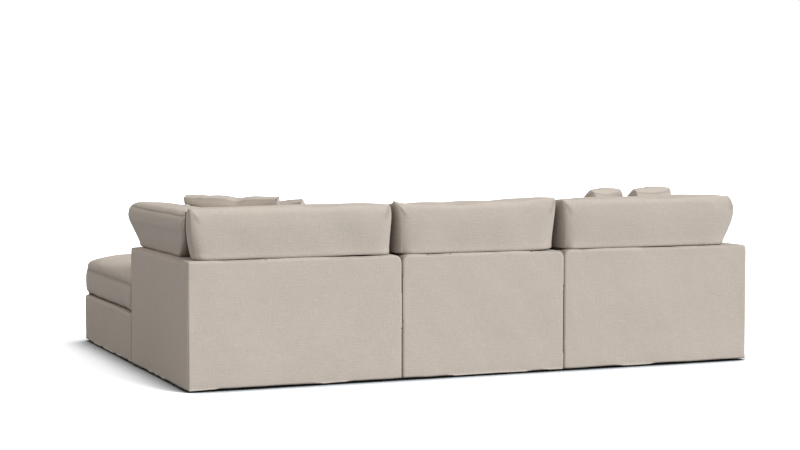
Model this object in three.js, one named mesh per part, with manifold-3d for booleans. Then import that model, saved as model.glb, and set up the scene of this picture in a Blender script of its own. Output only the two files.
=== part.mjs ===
// Sectional sofa with a chaise: a corner section, a middle section and an end section in one row,
// an ottoman in front of the corner section that makes the chaise, loose cushions and throw pillows.
// Millimetres, +Z up. The back of the sofa faces +Y, the chaise end is at +X and the floor is z = 0.
// Each section has its own frame: a is the distance from its outer side face (x = -a),
// t is the distance from its back face (y = -t). The end section is a mirrored group.
import * as THREE from "three";
import { mergeVertices } from "three/addons/utils/BufferGeometryUtils.js";
import Module from "manifold-3d";

const wasm = await Module();
wasm.setup();

// Sections
const seatSize = 889; // clear width and depth of one seat
const wallThickness = 203; // back, side and arm walls
const wallTop = 620;
const deckTop = 270; // platform under the seat cushions
const sectionGap = 3; // between neighbouring sections
const hemHeight = 13; // floor to the hem of the covers
const jointHemHeight = 36; // shorter skirt where two sections meet, above the connector

// Clearances
const fit = 0.3; // between pieces that rest on or against each other
const overrun = 20; // how far a cutting block passes a face
const weld = 0.001;

// Covers
const skin = 10; // padded cover
const topEdgeRadius = 12;
const jointCornerRadius = 38;
const outerCornerRadius = 24;
const baseEdgeRadius = 16;

// Frames
const frameFoot = 30; // floor to the underside of the frames
const plateThickness = 22;
const postWidth = 36;
const wallPosts = 4;
const midRailHeight = 70;
const midRailThickness = 20;
const railThickness = 32;
const stretcherHeight = 60;
const cornerBlockLeg = 110;
const cornerBlockHeight = 40;

// Suspension
const wireThickness = 4;
const springCount = 5;
const springBends = 8;
const springWave = 26; // half the width of a zigzag spring
const clipStripWidth = 20;
const tieWires = 2;
const tieThickness = 3;
const padThickness = 18;
const padInset = 4;

// Underside
const dustCoverThickness = 1.5;
const dustCoverInset = 24;
const dustCoverNotch = 92; // square left open at each glide
const glideInset = 50; // section corner to glide centre, both ways
const glideRadius = 20;
const glideNeckRadius = 12;
const glideFootHeight = 12;
const glideStemRadius = 4;
const glideStemLength = 16;
const glideEdge = 2;

// Connector bar of the middle section and its keepers
const barWidth = 40;
const barThickness = 4;
const barReach = 40; // tongue past the middle section's side
const barSetback = 520; // back face to the middle of the bar
const keeperThickness = 2.5;
const keeperLength = 26;
const keeperFlange = 18;
const keeperClearance = 1;

// Seat and ottoman cushions
const cushionGap = 2; // to the walls and to the section's edge
const seatSeamHeight = 145; // deck to the upper seam
const seatCrown = 90;
const ottomanCrown = 118;
const seatRestHeight = 185; // deck to the seat where back cushions press on it
const lowerTuck = 34; // how far the underside is drawn in
const lowerEdgeInset = 12;
const lowerEdgeHeight = 10;
const lowerRoll = 30;
const lowerRollInset = 2;
const seamInset = 5;
const drawIn = 9; // sides drawn in between the corners
const cushionCornerRadius = 30;
const gridEdge = 40;
const restMargin = 26;
const crownPower = 2.4;
const freeCells = 4; // of a seat cushion's grid between its edges
const ottomanCells = 6;

// Back and side cushions, t from the wall's outer face
const backRearInset = 50; // foot on the wall top
const backRearBulge = 5;
const backRearSeamInset = 34;
const backTopFront = 250;
const backTopFrontDrop = 9;
const backMidFront = 345;
const backLowFront = 405;
const backFootFront = 424;
const footRoll = 26;
const footRise = 13;
const endRound = 20;
const endDome = 5;
const backEndDrawIn = 7;
const cushionLean = 64; // how far the side cushion's rear end leans away
const sideRearIn = 186; // rear end of the side cushion from the back face
const sideFootIn = 56; // its front end from the section's front face; negative is past it
const sideWideIn = -48;
const sideTopIn = 22;
const sideWideRise = 170; // wall top to its widest level
const sideSeamRise = 208;
const sideCrestRise = 233;
const chaiseOuterFootIn = 55; // back cushion ends from the section's ends
const chaiseOuterTopIn = 45;
const chaiseJointFootIn = 64;
const chaiseJointTopIn = 46;
const chaiseSeamRise = 230;
const chaiseCrestRise = 248;
const middleChaiseFootIn = -8;
const middleChaiseTopIn = -26;
const middleEndFootIn = 39;
const middleEndTopIn = 20;
const middleSeamRise = 246;
const middleCrestRise = 266;
const endOuterFootIn = 122;
const endOuterWideIn = 50;
const endOuterTopIn = 112;
const endJointFootIn = 16;
const endJointTopIn = -5;
const endWideRise = 208;
const endSeamRise = 220;
const endCrestRise = 261;
const backBulgeRise = 135;

// Throw pillows
const pillowWidth = 495;
const pillowHeight = 470;
const pillowBoxing = 42;
const pillowCrown = 52;
const pillowDrawIn = 14;
const pillowCells = 8;
const pillowPuffPower = 0.6;
const liftRoom = 160; // above the side cushion and each pillow, for taking it off
const liftShares = [0, 0.05, 0.1, 0.16, 0.25, 0.5, 0.75, 1];
const chaiseCornerPillowA = 272; // middle of the lower edge, from the walls' inner faces
const chaiseCornerPillowT = 398;
const chaiseCornerPillowRise = 4; // above the pressed seat
const chaiseFrontPillowA = 583;
const chaiseFrontPillowT = 487;
const chaiseFrontPillowRise = 21;
const endCornerPillowA = 211;
const endCornerPillowT = 417;
const endCornerPillowRise = 20;
const endFrontPillowA = 521;
const endFrontPillowT = 397;
const endFrontPillowRise = 12;

// Sizes that follow
const cornerSize = wallThickness + seatSize;
const totalLength = cornerSize + sectionGap + seatSize + sectionGap + cornerSize;
const totalDepth = cornerSize + sectionGap + cornerSize;
const innerLine = wallThickness - skin; // where the base starts behind the wall's inner skin
const undersideZ = deckTop - skin;
const padTop = undersideZ - fit;
const wireTop = padTop - padThickness - fit;
const railTop = wireTop - wireThickness - fit;
const restZ = deckTop + fit + seatRestHeight;
const dustTop = frameFoot - fit;
const connectorTop = dustTop - dustCoverThickness - fit;
const standingCushions = {
  chaise: {
    foot: [chaiseOuterFootIn, cornerSize - chaiseJointFootIn],
    widest: [chaiseOuterTopIn, cornerSize - chaiseJointTopIn],
    top: [chaiseOuterTopIn, cornerSize - chaiseJointTopIn],
    rises: { bulge: backBulgeRise, widest: chaiseSeamRise, seam: chaiseSeamRise, crest: chaiseCrestRise },
  },
  middle: {
    foot: [middleChaiseFootIn, seatSize - middleEndFootIn],
    widest: [middleChaiseTopIn, seatSize - middleEndTopIn],
    top: [middleChaiseTopIn, seatSize - middleEndTopIn],
    rises: { bulge: backBulgeRise, widest: middleSeamRise, seam: middleSeamRise, crest: middleCrestRise },
  },
  end: {
    foot: [endOuterFootIn, cornerSize - endJointFootIn],
    widest: [endOuterWideIn, cornerSize - endJointTopIn],
    top: [endOuterTopIn, cornerSize - endJointTopIn],
    rises: { bulge: backBulgeRise, widest: endWideRise, seam: endSeamRise, crest: endCrestRise },
  },
  side: {
    foot: [sideRearIn, cornerSize - sideFootIn],
    widest: [sideRearIn, cornerSize - sideWideIn],
    top: [sideRearIn, cornerSize - sideTopIn],
    rises: { bulge: sideWideRise, widest: sideWideRise, seam: sideSeamRise, crest: sideCrestRise },
  },
};
// turn is seen from above; roll lifts one end of the pillow's lower edge.
const pillowPlaces = {
  chaise_corner: {
    a: wallThickness + chaiseCornerPillowA,
    t: wallThickness + chaiseCornerPillowT,
    z: restZ + chaiseCornerPillowRise,
    degrees: { turn: 41, roll: 0, lean: 20 },
  },
  chaise_front: {
    a: wallThickness + chaiseFrontPillowA,
    t: wallThickness + chaiseFrontPillowT,
    z: restZ + chaiseFrontPillowRise,
    degrees: { turn: 41, roll: 12, lean: 35 },
  },
  end_corner: {
    a: wallThickness + endCornerPillowA,
    t: wallThickness + endCornerPillowT,
    z: restZ + endCornerPillowRise,
    degrees: { turn: 38, roll: 0, lean: 20 },
  },
  end_front: {
    a: wallThickness + endFrontPillowA,
    t: wallThickness + endFrontPillowT,
    z: restZ + endFrontPillowRise,
    degrees: { turn: 46, roll: 0, lean: 20 },
  },
};

// Materials
const colours = {
  fabric: 0xc0b4a7,
  wood: 0xc8a878,
  steel: 0x8d8f91,
  pad: 0xe6e1d6,
  dust: 0x2c2b2a,
  plastic: 0x1d1d1e,
};
const finish = (color, roughness, metalness = 0) => () =>
  new THREE.MeshStandardMaterial({ color, roughness, metalness });
const fabric = finish(colours.fabric, 0.92);
const wood = finish(colours.wood, 0.7);
const steel = finish(colours.steel, 0.35, 1);
const pad = finish(colours.pad, 0.95);
const dust = finish(colours.dust, 0.95);
const plastic = finish(colours.plastic, 0.5);

// Six times the signed volume of an indexed mesh, to see whether its faces point out.
function signedVolume(positions, index) {
  const [p, q, r] = [new THREE.Vector3(), new THREE.Vector3(), new THREE.Vector3()];
  let sum = 0;
  for (let i = 0; i < index.length; i += 3) {
    p.fromArray(positions, 3 * index[i]);
    q.fromArray(positions, 3 * index[i + 1]);
    r.fromArray(positions, 3 * index[i + 2]);
    sum += p.dot(q.cross(r));
  }
  return sum;
}

// Closed three.js geometry to a solid with its faces pointing out.
function solidOf(geometry) {
  const bare = geometry.clone();
  bare.deleteAttribute("normal");
  bare.deleteAttribute("uv");
  const merged = mergeVertices(bare, weld);
  const vertProperties = merged.attributes.position.array;
  const triVerts = new Uint32Array(merged.index.array);
  if (signedVolume(vertProperties, triVerts) < 0) {
    for (let i = 0; i < triVerts.length; i += 3) {
      [triVerts[i + 1], triVerts[i + 2]] = [triVerts[i + 2], triVerts[i + 1]];
    }
  }
  return new wasm.Manifold(new wasm.Mesh({ numProp: 3, vertProperties, triVerts }));
}

function geometryOf(solid) {
  const mesh = solid.getMesh();
  const geometry = new THREE.BufferGeometry();
  geometry.setAttribute("position", new THREE.BufferAttribute(mesh.vertProperties, 3));
  geometry.setIndex(new THREE.BufferAttribute(mesh.triVerts, 1));
  geometry.computeVertexNormals();
  return geometry;
}

const join = (solids) => solids.reduce((all, next) => all.add(next));

// Box between limits in a, t and z.
function slab([a0, a1], [t0, t1], [z0, z1]) {
  const box = new THREE.BoxGeometry(a1 - a0, t1 - t0, z1 - z0);
  box.translate(-(a0 + a1) / 2, -(t0 + t1) / 2, (z0 + z1) / 2);
  return solidOf(box);
}

const curveSteps = 4;
const extrude = (shape, depth) =>
  new THREE.ExtrudeGeometry(shape, { depth, bevelEnabled: false, curveSegments: curveSteps });

// Outline in (t, z) carried along a.
function alongA(shape, a0, a1) {
  const axes = new THREE.Matrix4().set(0, 0, -1, -a0, -1, 0, 0, 0, 0, 1, 0, 0, 0, 0, 0, 1);
  return solidOf(extrude(shape, a1 - a0).applyMatrix4(axes));
}

// Outline in (a, z) carried along t.
function alongT(shape, t0, t1) {
  const axes = new THREE.Matrix4().set(-1, 0, 0, 0, 0, 0, -1, -t0, 0, 1, 0, 0, 0, 0, 0, 1);
  return solidOf(extrude(shape, t1 - t0).applyMatrix4(axes));
}

// Outline in (a, t) carried upwards.
function upright(shape, z0, z1) {
  const axes = new THREE.Matrix4().set(-1, 0, 0, 0, 0, -1, 0, 0, 0, 0, 1, z0, 0, 0, 0, 1);
  return solidOf(extrude(shape, z1 - z0).applyMatrix4(axes));
}

// The same solid with a and t exchanged: a back wall becomes a side wall.
function exchanged(solid) {
  const axes = new THREE.Matrix4().set(0, 1, 0, 0, 1, 0, 0, 0, 0, 0, 1, 0, 0, 0, 0, 1);
  return solidOf(geometryOf(solid).applyMatrix4(axes));
}

function outlineOf(points) {
  return new THREE.Shape(points.map(([x, y]) => new THREE.Vector2(x, y)));
}

// Rectangle whose two upper corners are rounded.
function topRounded([from, to], [bottom, top], fromRadius, toRadius) {
  const shape = new THREE.Shape();
  shape.moveTo(from, bottom);
  shape.lineTo(to, bottom);
  if (toRadius > 0) {
    shape.lineTo(to, top - toRadius);
    shape.absarc(to - toRadius, top - toRadius, toRadius, 0, Math.PI / 2, false);
  } else shape.lineTo(to, top);
  if (fromRadius > 0) {
    shape.lineTo(from + fromRadius, top);
    shape.absarc(from + fromRadius, top - fromRadius, fromRadius, Math.PI / 2, Math.PI, false);
  } else shape.lineTo(from, top);
  shape.closePath();
  return shape;
}

// The wall's outer form drawn in by inset on its faces, ends and top.
function wallForm(length, nearRadius, farRadius, inset, bottom) {
  const round = (radius) => Math.max(radius - inset, fit);
  const edge = round(topEdgeRadius);
  const section = topRounded([inset, wallThickness - inset], [bottom, wallTop - inset], edge, edge);
  const outline = topRounded(
    [inset, length - inset],
    [bottom, wallTop - inset],
    round(nearRadius),
    round(farRadius),
  );
  const body = alongA(section, inset, length - inset);
  return body.intersect(alongT(outline, -overrun, wallThickness + overrun));
}

// Hollow padded cover of one wall, open below, and open to the base under the deck.
function wallCover(length, nearRadius, farRadius, baseZone) {
  const outside = wallForm(length, nearRadius, farRadius, 0, hemHeight);
  const inside = wallForm(length, nearRadius, farRadius, skin, -overrun);
  return outside.subtract(inside).subtract(baseZone);
}

// What lies on the side wall's half of the corner, past the mitre.
function mitreCut() {
  const far = cornerSize + overrun;
  const outline = outlineOf([
    [-overrun, -overrun - fit],
    [far, far - fit],
    [-overrun, far],
  ]);
  return upright(outline, -overrun, wallTop + overrun);
}

// Wooden frame of one wall: plates, upright boards and a rail behind the outer face.
function wallFrame(length, nearRadius, farRadius) {
  const inset = skin + fit;
  const [low, high] = [frameFoot, wallTop - inset];
  const ends = [inset, length - inset];
  const depths = [inset, wallThickness - inset];
  const solids = [
    slab(ends, depths, [low, low + plateThickness]),
    slab(ends, depths, [high - plateThickness, high]),
    slab(ends, [inset, inset + midRailThickness], [deckTop, deckTop + midRailHeight]),
  ];
  for (let i = 0; i < wallPosts; i++) {
    const start = ends[0] + (i * (ends[1] - ends[0] - postWidth)) / (wallPosts - 1);
    solids.push(slab([start, start + postWidth], depths, [low, high]));
  }
  return join(solids).intersect(wallForm(length, nearRadius, farRadius, inset, low));
}

// Deck and skirts of a base. sides says on which sides a skirt hangs.
function baseCover([a0, a1], [t0, t1], sides) {
  const near = sides.near ? a0 + skin : a0 - overrun;
  const far = sides.far ? a1 - skin : a1 + overrun;
  const rear = sides.rear ? t0 + skin : t0 - overrun;
  const round = (side) => (side ? baseEdgeRadius : 0);
  const heights = [hemHeight, deckTop];
  const lengthwise = topRounded([t0, t1], heights, round(sides.rear), baseEdgeRadius);
  const crosswise = topRounded([a0, a1], heights, round(sides.near), round(sides.far));
  const body = alongA(lengthwise, a0, a1).intersect(alongT(crosswise, t0 - overrun, t1 + overrun));
  const hollow = topRounded([rear, t1 - skin], [-overrun, undersideZ], 0, baseEdgeRadius - skin);
  return body.subtract(alongA(hollow, near, far));
}

// Shortens the skirts that face another section, so that the connector passes below them.
function jointNotch(a0, a1, [t0, t1]) {
  return slab([a0, a1], [t0, t1], [-overrun, jointHemHeight]);
}

// Rails, stretchers and corner blocks under a seat.
function baseFrame([a0, a1], [t0, t1]) {
  const heights = [frameFoot, railTop];
  const solids = [
    slab([a0, a1], [t0, t0 + railThickness], heights),
    slab([a0, a1], [t1 - railThickness, t1], heights),
    slab([a0, a0 + railThickness], [t0, t1], heights),
    slab([a1 - railThickness, a1], [t0, t1], heights),
  ];
  for (const share of [1, 2]) {
    const middle = a0 + (share * (a1 - a0)) / 3;
    const width = [middle - railThickness / 2, middle + railThickness / 2];
    solids.push(slab(width, [t0, t1], [frameFoot, frameFoot + stretcherHeight]));
  }
  for (const [a, inwardA] of [[a0, 1], [a1, -1]]) {
    for (const [t, inwardT] of [[t0, 1], [t1, -1]]) {
      const leg = cornerBlockLeg;
      const outline = outlineOf([[a, t], [a + inwardA * leg, t], [a, t + inwardT * leg]]);
      solids.push(upright(outline, frameFoot, frameFoot + cornerBlockHeight));
    }
  }
  return join(solids);
}

// Flat zigzag springs from the front rail to the rear rail, held by clip strips and tie wires.
function springUnit([a0, a1], [t0, t1]) {
  const [low, high] = [wireTop - wireThickness, wireTop];
  const edge = (railThickness - clipStripWidth) / 2;
  const front = [t1 - edge - clipStripWidth, t1 - edge];
  const rear = [t0 + edge, t0 + edge + clipStripWidth];
  const width = [a0 + railThickness, a1 - railThickness];
  const solids = [slab(width, front, [low, high]), slab(width, rear, [low, high])];
  const pitch = (width[1] - width[0]) / springCount;
  const run = front[0] - rear[1];
  for (let i = 0; i < springCount; i++) {
    const middle = width[0] + (i + 0.5) * pitch;
    const one = [];
    const other = [];
    for (let k = 0; k <= springBends; k++) {
      const wave = k % 2 ? springWave : -springWave;
      const t = rear[1] - edge + (k * (run + 2 * edge)) / springBends;
      one.push([middle + wave - wireThickness, t]);
      other.unshift([middle + wave + wireThickness, t]);
    }
    solids.push(upright(outlineOf([...one, ...other]), low, high));
  }
  const tieInset = (wireThickness - tieThickness) / 2;
  for (let i = 1; i <= tieWires; i++) {
    const t = rear[1] + (i * run) / (tieWires + 1);
    const across = [t - tieThickness / 2, t + tieThickness / 2];
    solids.push(slab(width, across, [low + tieInset, high - tieInset]));
  }
  return join(solids);
}

function deckPad([a0, a1], [t0, t1]) {
  const [across, along] = [[a0 + padInset, a1 - padInset], [t0 + padInset, t1 - padInset]];
  return slab(across, along, [padTop - padThickness, padTop]);
}

// Cloth under a section, with a square notch at each corner for the glide.
function dustCover(width, depth) {
  const inset = dustCoverInset;
  const thickness = [dustTop - dustCoverThickness, dustTop];
  const sheet = slab([inset, width - inset], [inset, depth - inset], thickness);
  const cut = [-overrun, frameFoot + overrun];
  const notches = [];
  for (const a of [[-overrun, dustCoverNotch], [width - dustCoverNotch, width + overrun]]) {
    for (const t of [[-overrun, dustCoverNotch], [depth - dustCoverNotch, depth + overrun]]) {
      notches.push(slab(a, t, cut));
    }
  }
  return sheet.subtract(join(notches));
}

const glideSides = 8;

// Turned glide: foot, neck and the stem that goes up into the frame.
function glideSolid([a, t]) {
  const shoulder = frameFoot - fit;
  const profile = [
    [0, 0],
    [glideRadius - glideEdge, 0],
    [glideRadius, glideEdge],
    [glideRadius, glideFootHeight],
    [glideNeckRadius, glideFootHeight],
    [glideNeckRadius, shoulder],
    [glideStemRadius, shoulder],
    [glideStemRadius, frameFoot + glideStemLength],
    [0, frameFoot + glideStemLength],
  ].map(([radius, z]) => new THREE.Vector2(radius, z));
  const turned = new THREE.LatheGeometry(profile, glideSides).rotateX(Math.PI / 2);
  return solidOf(turned.translate(-a, -t, 0));
}

// Bore for a glide's stem.
function glideBore([a, t]) {
  const radius = glideStemRadius + fit;
  const length = glideStemLength + fit + overrun;
  const bore = new THREE.CylinderGeometry(radius, radius, length, glideSides).rotateX(Math.PI / 2);
  return solidOf(bore.translate(-a, -t, frameFoot + glideStemLength + fit - length / 2));
}

function glidePlaces(width, depth) {
  const places = [];
  for (const a of [glideInset, width - glideInset]) {
    for (const t of [glideInset, depth - glideInset]) places.push([a, t]);
  }
  return places;
}

// Places from one end of a cushion's grid to the other, close together at the edges and the stops.
function gridPlaces(low, high, restLow, restHigh, free) {
  const start = restLow ? [low, low + gridEdge, restLow] : [low, low + gridEdge];
  const end = restHigh ? [restHigh, high - gridEdge, high] : [high - gridEdge, high];
  const [from, to] = [start.at(-1), end[0]];
  const between = [];
  for (let i = 1; i < free; i++) between.push(from + (i * (to - from)) / free);
  return [...start, ...between, ...end];
}

// Closed surface from vertices and faces with any number of corners.
function surface(vertices, faces) {
  const index = [];
  for (const face of faces) {
    for (let i = 1; i + 1 < face.length; i++) index.push(face[0], face[i], face[i + 1]);
  }
  const geometry = new THREE.BufferGeometry();
  geometry.setAttribute("position", new THREE.Float32BufferAttribute(vertices.flat(), 3));
  geometry.setIndex(index);
  return solidOf(geometry);
}

// Boxed seat cushion: a grid on top, the sides in levels around its edge, and a flat underside.
function boxCushion(aPlaces, tPlaces, crown, restLimit) {
  const [a0, a1, t0, t1] = [aPlaces[0], aPlaces.at(-1), tPlaces[0], tPlaces.at(-1)];
  const centre = [(a0 + a1) / 2, (t0 + t1) / 2];
  const half = [(a1 - a0) / 2, (t1 - t0) / 2];
  const base = deckTop + fit;
  const seam = deckTop + seatSeamHeight;
  const cornerCut = cushionCornerRadius * (1 - Math.SQRT1_2);
  const rim = (a, t, inset) => {
    const u = (a - centre[0]) / half[0];
    const v = (t - centre[1]) / half[1];
    const corner = Math.abs(u) === 1 && Math.abs(v) === 1 ? cornerCut : 0;
    const pullA = inset + corner + (Math.abs(u) === 1 ? drawIn * (1 - v * v) : 0);
    const pullT = inset + corner + (Math.abs(v) === 1 ? drawIn * (1 - u * u) : 0);
    return [centre[0] + u * (half[0] - pullA), centre[1] + v * (half[1] - pullT)];
  };
  const swell = (a, t) => {
    const u = Math.abs(a - centre[0]) / half[0];
    const v = Math.abs(t - centre[1]) / half[1];
    const dome = Math.sqrt(Math.max((1 - u ** crownPower) * (1 - v ** crownPower), 0));
    return Math.min(seam + crown * dome, restLimit(a, t));
  };
  const vertices = [];
  const add = (a, t, z) => vertices.push([-a, -t, z]) - 1;
  const border = [];
  aPlaces.forEach((a) => border.push([a, t0]));
  tPlaces.slice(1).forEach((t) => border.push([a1, t]));
  aPlaces.slice(0, -1).reverse().forEach((a) => border.push([a, t1]));
  tPlaces.slice(1, -1).reverse().forEach((t) => border.push([a0, t]));
  const levels = [
    [base, lowerTuck],
    [base + lowerEdgeHeight, lowerEdgeInset],
    [base + lowerRoll, lowerRollInset],
    [(base + seam) / 2, 0],
    [seam, seamInset],
  ].map(([z, inset]) => border.map(([a, t]) => add(...rim(a, t, inset), z)));
  const faces = [];
  const count = border.length;
  for (let level = 1; level < levels.length; level++) {
    const [under, over] = [levels[level - 1], levels[level]];
    for (let i = 0; i < count; i++) {
      const next = (i + 1) % count;
      faces.push([under[i], under[next], over[next], over[i]]);
    }
  }
  const under = add(...centre, base);
  levels[0].forEach((vertex, i) => faces.push([under, levels[0][(i + 1) % count], vertex]));
  const onBorder = new Map(border.map(([a, t], i) => [`${a},${t}`, levels.at(-1)[i]]));
  const top = aPlaces.map((a) =>
    tPlaces.map((t) => onBorder.get(`${a},${t}`) ?? add(a, t, swell(a, t))),
  );
  for (let i = 1; i < aPlaces.length; i++) {
    for (let j = 1; j < tPlaces.length; j++) {
      faces.push([top[i - 1][j - 1], top[i][j - 1], top[i][j], top[i - 1][j]]);
    }
  }
  return surface(vertices, faces);
}

// Seat cushion between limits, pressed down where back and side cushions stand on it.
function seatCushion([a0, a1], [t0, t1], besideWall) {
  const restDepth = backFootFront + restMargin;
  const restLimit = (a, t) =>
    t <= restDepth || (besideWall && a <= restDepth) ? restZ : Number.POSITIVE_INFINITY;
  const aPlaces = gridPlaces(a0, a1, besideWall ? restDepth : 0, 0, besideWall ? freeCells : ottomanCells);
  const tPlaces = gridPlaces(t0, t1, restDepth, 0, freeCells);
  return boxCushion(aPlaces, tPlaces, seatCrown, restLimit);
}

// Cross-section of a back cushion in (t, z): foot on the wall top, rear bulge, top, leaning front, seat.
function backSection(swell, rises) {
  const bottom = restZ + fit;
  const slack = (1 - swell) * backEndDrawIn;
  const seam = wallTop + rises.seam;
  const crown = wallTop + rises.crest - slack;
  const topThird = (backTopFront - backRearSeamInset) / 3;
  return [
    [backRearInset, wallTop + fit + footRise],
    [backRearBulge + slack, wallTop + rises.bulge],
    [backRearSeamInset, seam],
    [backRearSeamInset + topThird, crown],
    [backTopFront - topThird, crown],
    [backTopFront, seam - backTopFrontDrop],
    [backMidFront - slack, (seam + wallTop) / 2],
    [backLowFront, wallTop],
    [backFootFront, bottom + 2 * footRoll],
    [backFootFront, bottom + footRoll],
    [backFootFront - footRoll, bottom],
    [backRearInset + footRoll, bottom],
    [backRearInset, bottom + footRoll],
  ];
}

const stationShares = [0, 0.02, 0.08, 0.22, 0.36, 0.5, 0.64, 0.78, 0.92, 0.98, 1];
const endRoundShares = [1, 0.25, 0, 0, 0, 0, 0, 0, 0, 0.25, 1];
const endPower = 4;

// Where an end of a standing cushion is at height z: foot, then widest, then top.
function endPlace(foot, widest, top, rises, z) {
  const rise = Math.max(z - wallTop, 0);
  if (rise < rises.widest) return foot + (rise * (widest - foot)) / rises.widest;
  return widest + ((rise - rises.widest) * (top - widest)) / (rises.crest - rises.widest);
}

// Cushion standing on the wall top and the seat; its ends spread towards the top.
// endLean carries the near end further in as it rises.
function standingCushion({ foot, widest, top, rises }, endLean) {
  const vertices = [];
  const rings = stationShares.map((share, station) => {
    const fromEnd = Math.min(share, 1 - share) * 2;
    const section = backSection(1 - (1 - fromEnd) ** endPower, rises);
    const sum = section.reduce((total, [t, z]) => [total[0] + t, total[1] + z], [0, 0]);
    const [midT, midZ] = sum.map((value) => value / section.length);
    return section.map(([t, z]) => {
      const away = Math.hypot(t - midT, z - midZ);
      const keep = 1 - (endRoundShares[station] * endRound) / away;
      const riseShare = Math.max(z - wallTop, 0) / rises.crest;
      const near = endPlace(foot[0], widest[0], top[0], rises, z) + riseShare * endLean;
      const far = endPlace(foot[1], widest[1], top[1], rises, z);
      const a = near + share * (far - near);
      return vertices.push([-a, -(midT + (t - midT) * keep), midZ + (z - midZ) * keep]) - 1;
    });
  });
  const faces = [];
  for (let s = 1; s < rings.length; s++) {
    const [from, to] = [rings[s - 1], rings[s]];
    from.forEach((vertex, i) => {
      const next = (i + 1) % from.length;
      faces.push([vertex, from[next], to[next], to[i]]);
    });
  }
  for (const [ring, outward] of [[rings[0], 1], [rings.at(-1), -1]]) {
    const sum = ring.reduce((all, i) => all.map((value, k) => value + vertices[i][k]), [0, 0, 0]);
    const centre = sum.map((value) => value / ring.length);
    centre[0] += outward * endDome;
    const middle = vertices.push(centre) - 1;
    ring.forEach((vertex, i) => {
      const next = ring[(i + 1) % ring.length];
      faces.push(outward > 0 ? [middle, next, vertex] : [middle, vertex, next]);
    });
  }
  return surface(vertices, faces);
}

// Room that the walls take from a cushion standing on them.
function wallRoom(hasSideWall) {
  const reach = [-cornerSize, 2 * cornerSize];
  const heights = [-overrun, wallTop + fit];
  const back = slab(reach, [-overrun, wallThickness + cushionGap], heights);
  if (!hasSideWall) return back;
  return back.add(slab([-overrun, wallThickness + cushionGap], [-overrun, 2 * cornerSize], heights));
}

const shifted = (solid, a, t, z) => solid.translate([-a, -t, z]);

// Boxed pillow standing on its lower edge at the origin, its width along x and its thickness along y.
function pillowForm() {
  const vertices = [];
  const cells = Array.from({ length: pillowCells + 1 }, (_, i) => -Math.cos((Math.PI * i) / pillowCells));
  const edge = (share) => Math.max(1 - Math.abs(share) ** crownPower, 0);
  const puff = (u, v) => (edge(u) * edge(v)) ** pillowPuffPower;
  const place = (u, v, side) => {
    const x = u * (pillowWidth / 2 - pillowDrawIn * (1 - v * v) * Math.abs(u));
    const z = v * (pillowHeight / 2 - pillowDrawIn * (1 - u * u) * Math.abs(v));
    return [x, side * (pillowBoxing / 2 + pillowCrown * puff(u, v)), z + pillowHeight / 2];
  };
  const [front, back] = [-1, 1].map((side) =>
    cells.map((u) => cells.map((v) => vertices.push(place(u, v, side)) - 1)),
  );
  const faces = [];
  const last = pillowCells;
  for (let i = 1; i <= last; i++) {
    for (let j = 1; j <= last; j++) {
      faces.push([front[i - 1][j - 1], front[i][j - 1], front[i][j], front[i - 1][j]]);
      faces.push([back[i - 1][j - 1], back[i - 1][j], back[i][j], back[i][j - 1]]);
    }
    faces.push([front[i - 1][0], back[i - 1][0], back[i][0], front[i][0]]);
    faces.push([front[i - 1][last], front[i][last], back[i][last], back[i - 1][last]]);
    faces.push([front[0][i - 1], front[0][i], back[0][i], back[0][i - 1]]);
    faces.push([front[last][i - 1], back[last][i - 1], back[last][i], front[last][i]]);
  }
  return surface(vertices, faces);
}

// Pillow leaned back, rolled, turned towards the corner and set down.
function placedPillow({ a, t, z, degrees }) {
  const radians = THREE.MathUtils.degToRad;
  const turned = new THREE.Matrix4()
    .makeTranslation(-a, -t, z)
    .multiply(new THREE.Matrix4().makeRotationZ(-radians(degrees.turn)))
    .multiply(new THREE.Matrix4().makeRotationX(-radians(degrees.lean)))
    .multiply(new THREE.Matrix4().makeRotationY(radians(degrees.roll)));
  return solidOf(geometryOf(pillowForm()).applyMatrix4(turned));
}

// What a soft piece leans on, also as it passes when the piece is lifted off.
function leaningRoom(neighbours) {
  return join(
    neighbours.flatMap((solid) =>
      liftShares.map((share) => {
        const away = share > 0 ? cushionGap : fit;
        return shifted(solid, away, away, -share * liftRoom);
      }),
    ),
  );
}

// The largest body: what a cut leaves behind a neighbour is dropped.
function mainBody(solid) {
  return solid.decompose().reduce((main, next) => (next.volume() > main.volume() ? next : main));
}

// A pillow gives way to what it leans on.
function pressedPillow(place, neighbours, seat) {
  const room = leaningRoom(neighbours).add(shifted(seat, 0, 0, fit));
  return mainBody(placedPillow(place).subtract(room));
}

function add(group, name, solid, material) {
  const mesh = new THREE.Mesh(geometryOf(solid), material());
  mesh.name = name;
  group.add(mesh);
}

// Frame, suspension, deck pad, base cover, dust cover and glides of one section.
function addBase(group, name, zones, sides, notches, wallWood) {
  const frames = { base: baseFrame(zones.frameA, zones.frameT), wall: wallWood };
  const places = glidePlaces(zones.width, zones.depth);
  for (const key of Object.keys(frames)) {
    if (frames[key]) frames[key] = frames[key].subtract(join(places.map(glideBore)));
  }
  let cover = baseCover(zones.coverA, zones.coverT, sides);
  for (const notch of notches) cover = cover.subtract(notch);
  add(group, `${name}_base_cover`, cover, fabric);
  add(group, `${name}_base_frame`, frames.base, wood);
  if (wallWood) add(group, `${name}_wall_frame`, frames.wall, wood);
  add(group, `${name}_spring_unit`, springUnit(zones.frameA, zones.frameT), steel);
  add(group, `${name}_deck_pad`, deckPad(zones.frameA, zones.frameT), pad);
  add(group, `${name}_dust_cover`, dustCover(zones.width, zones.depth), dust);
  places.forEach((place, i) => add(group, `${name}_glide_${i + 1}`, glideSolid(place), plastic));
}

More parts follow.
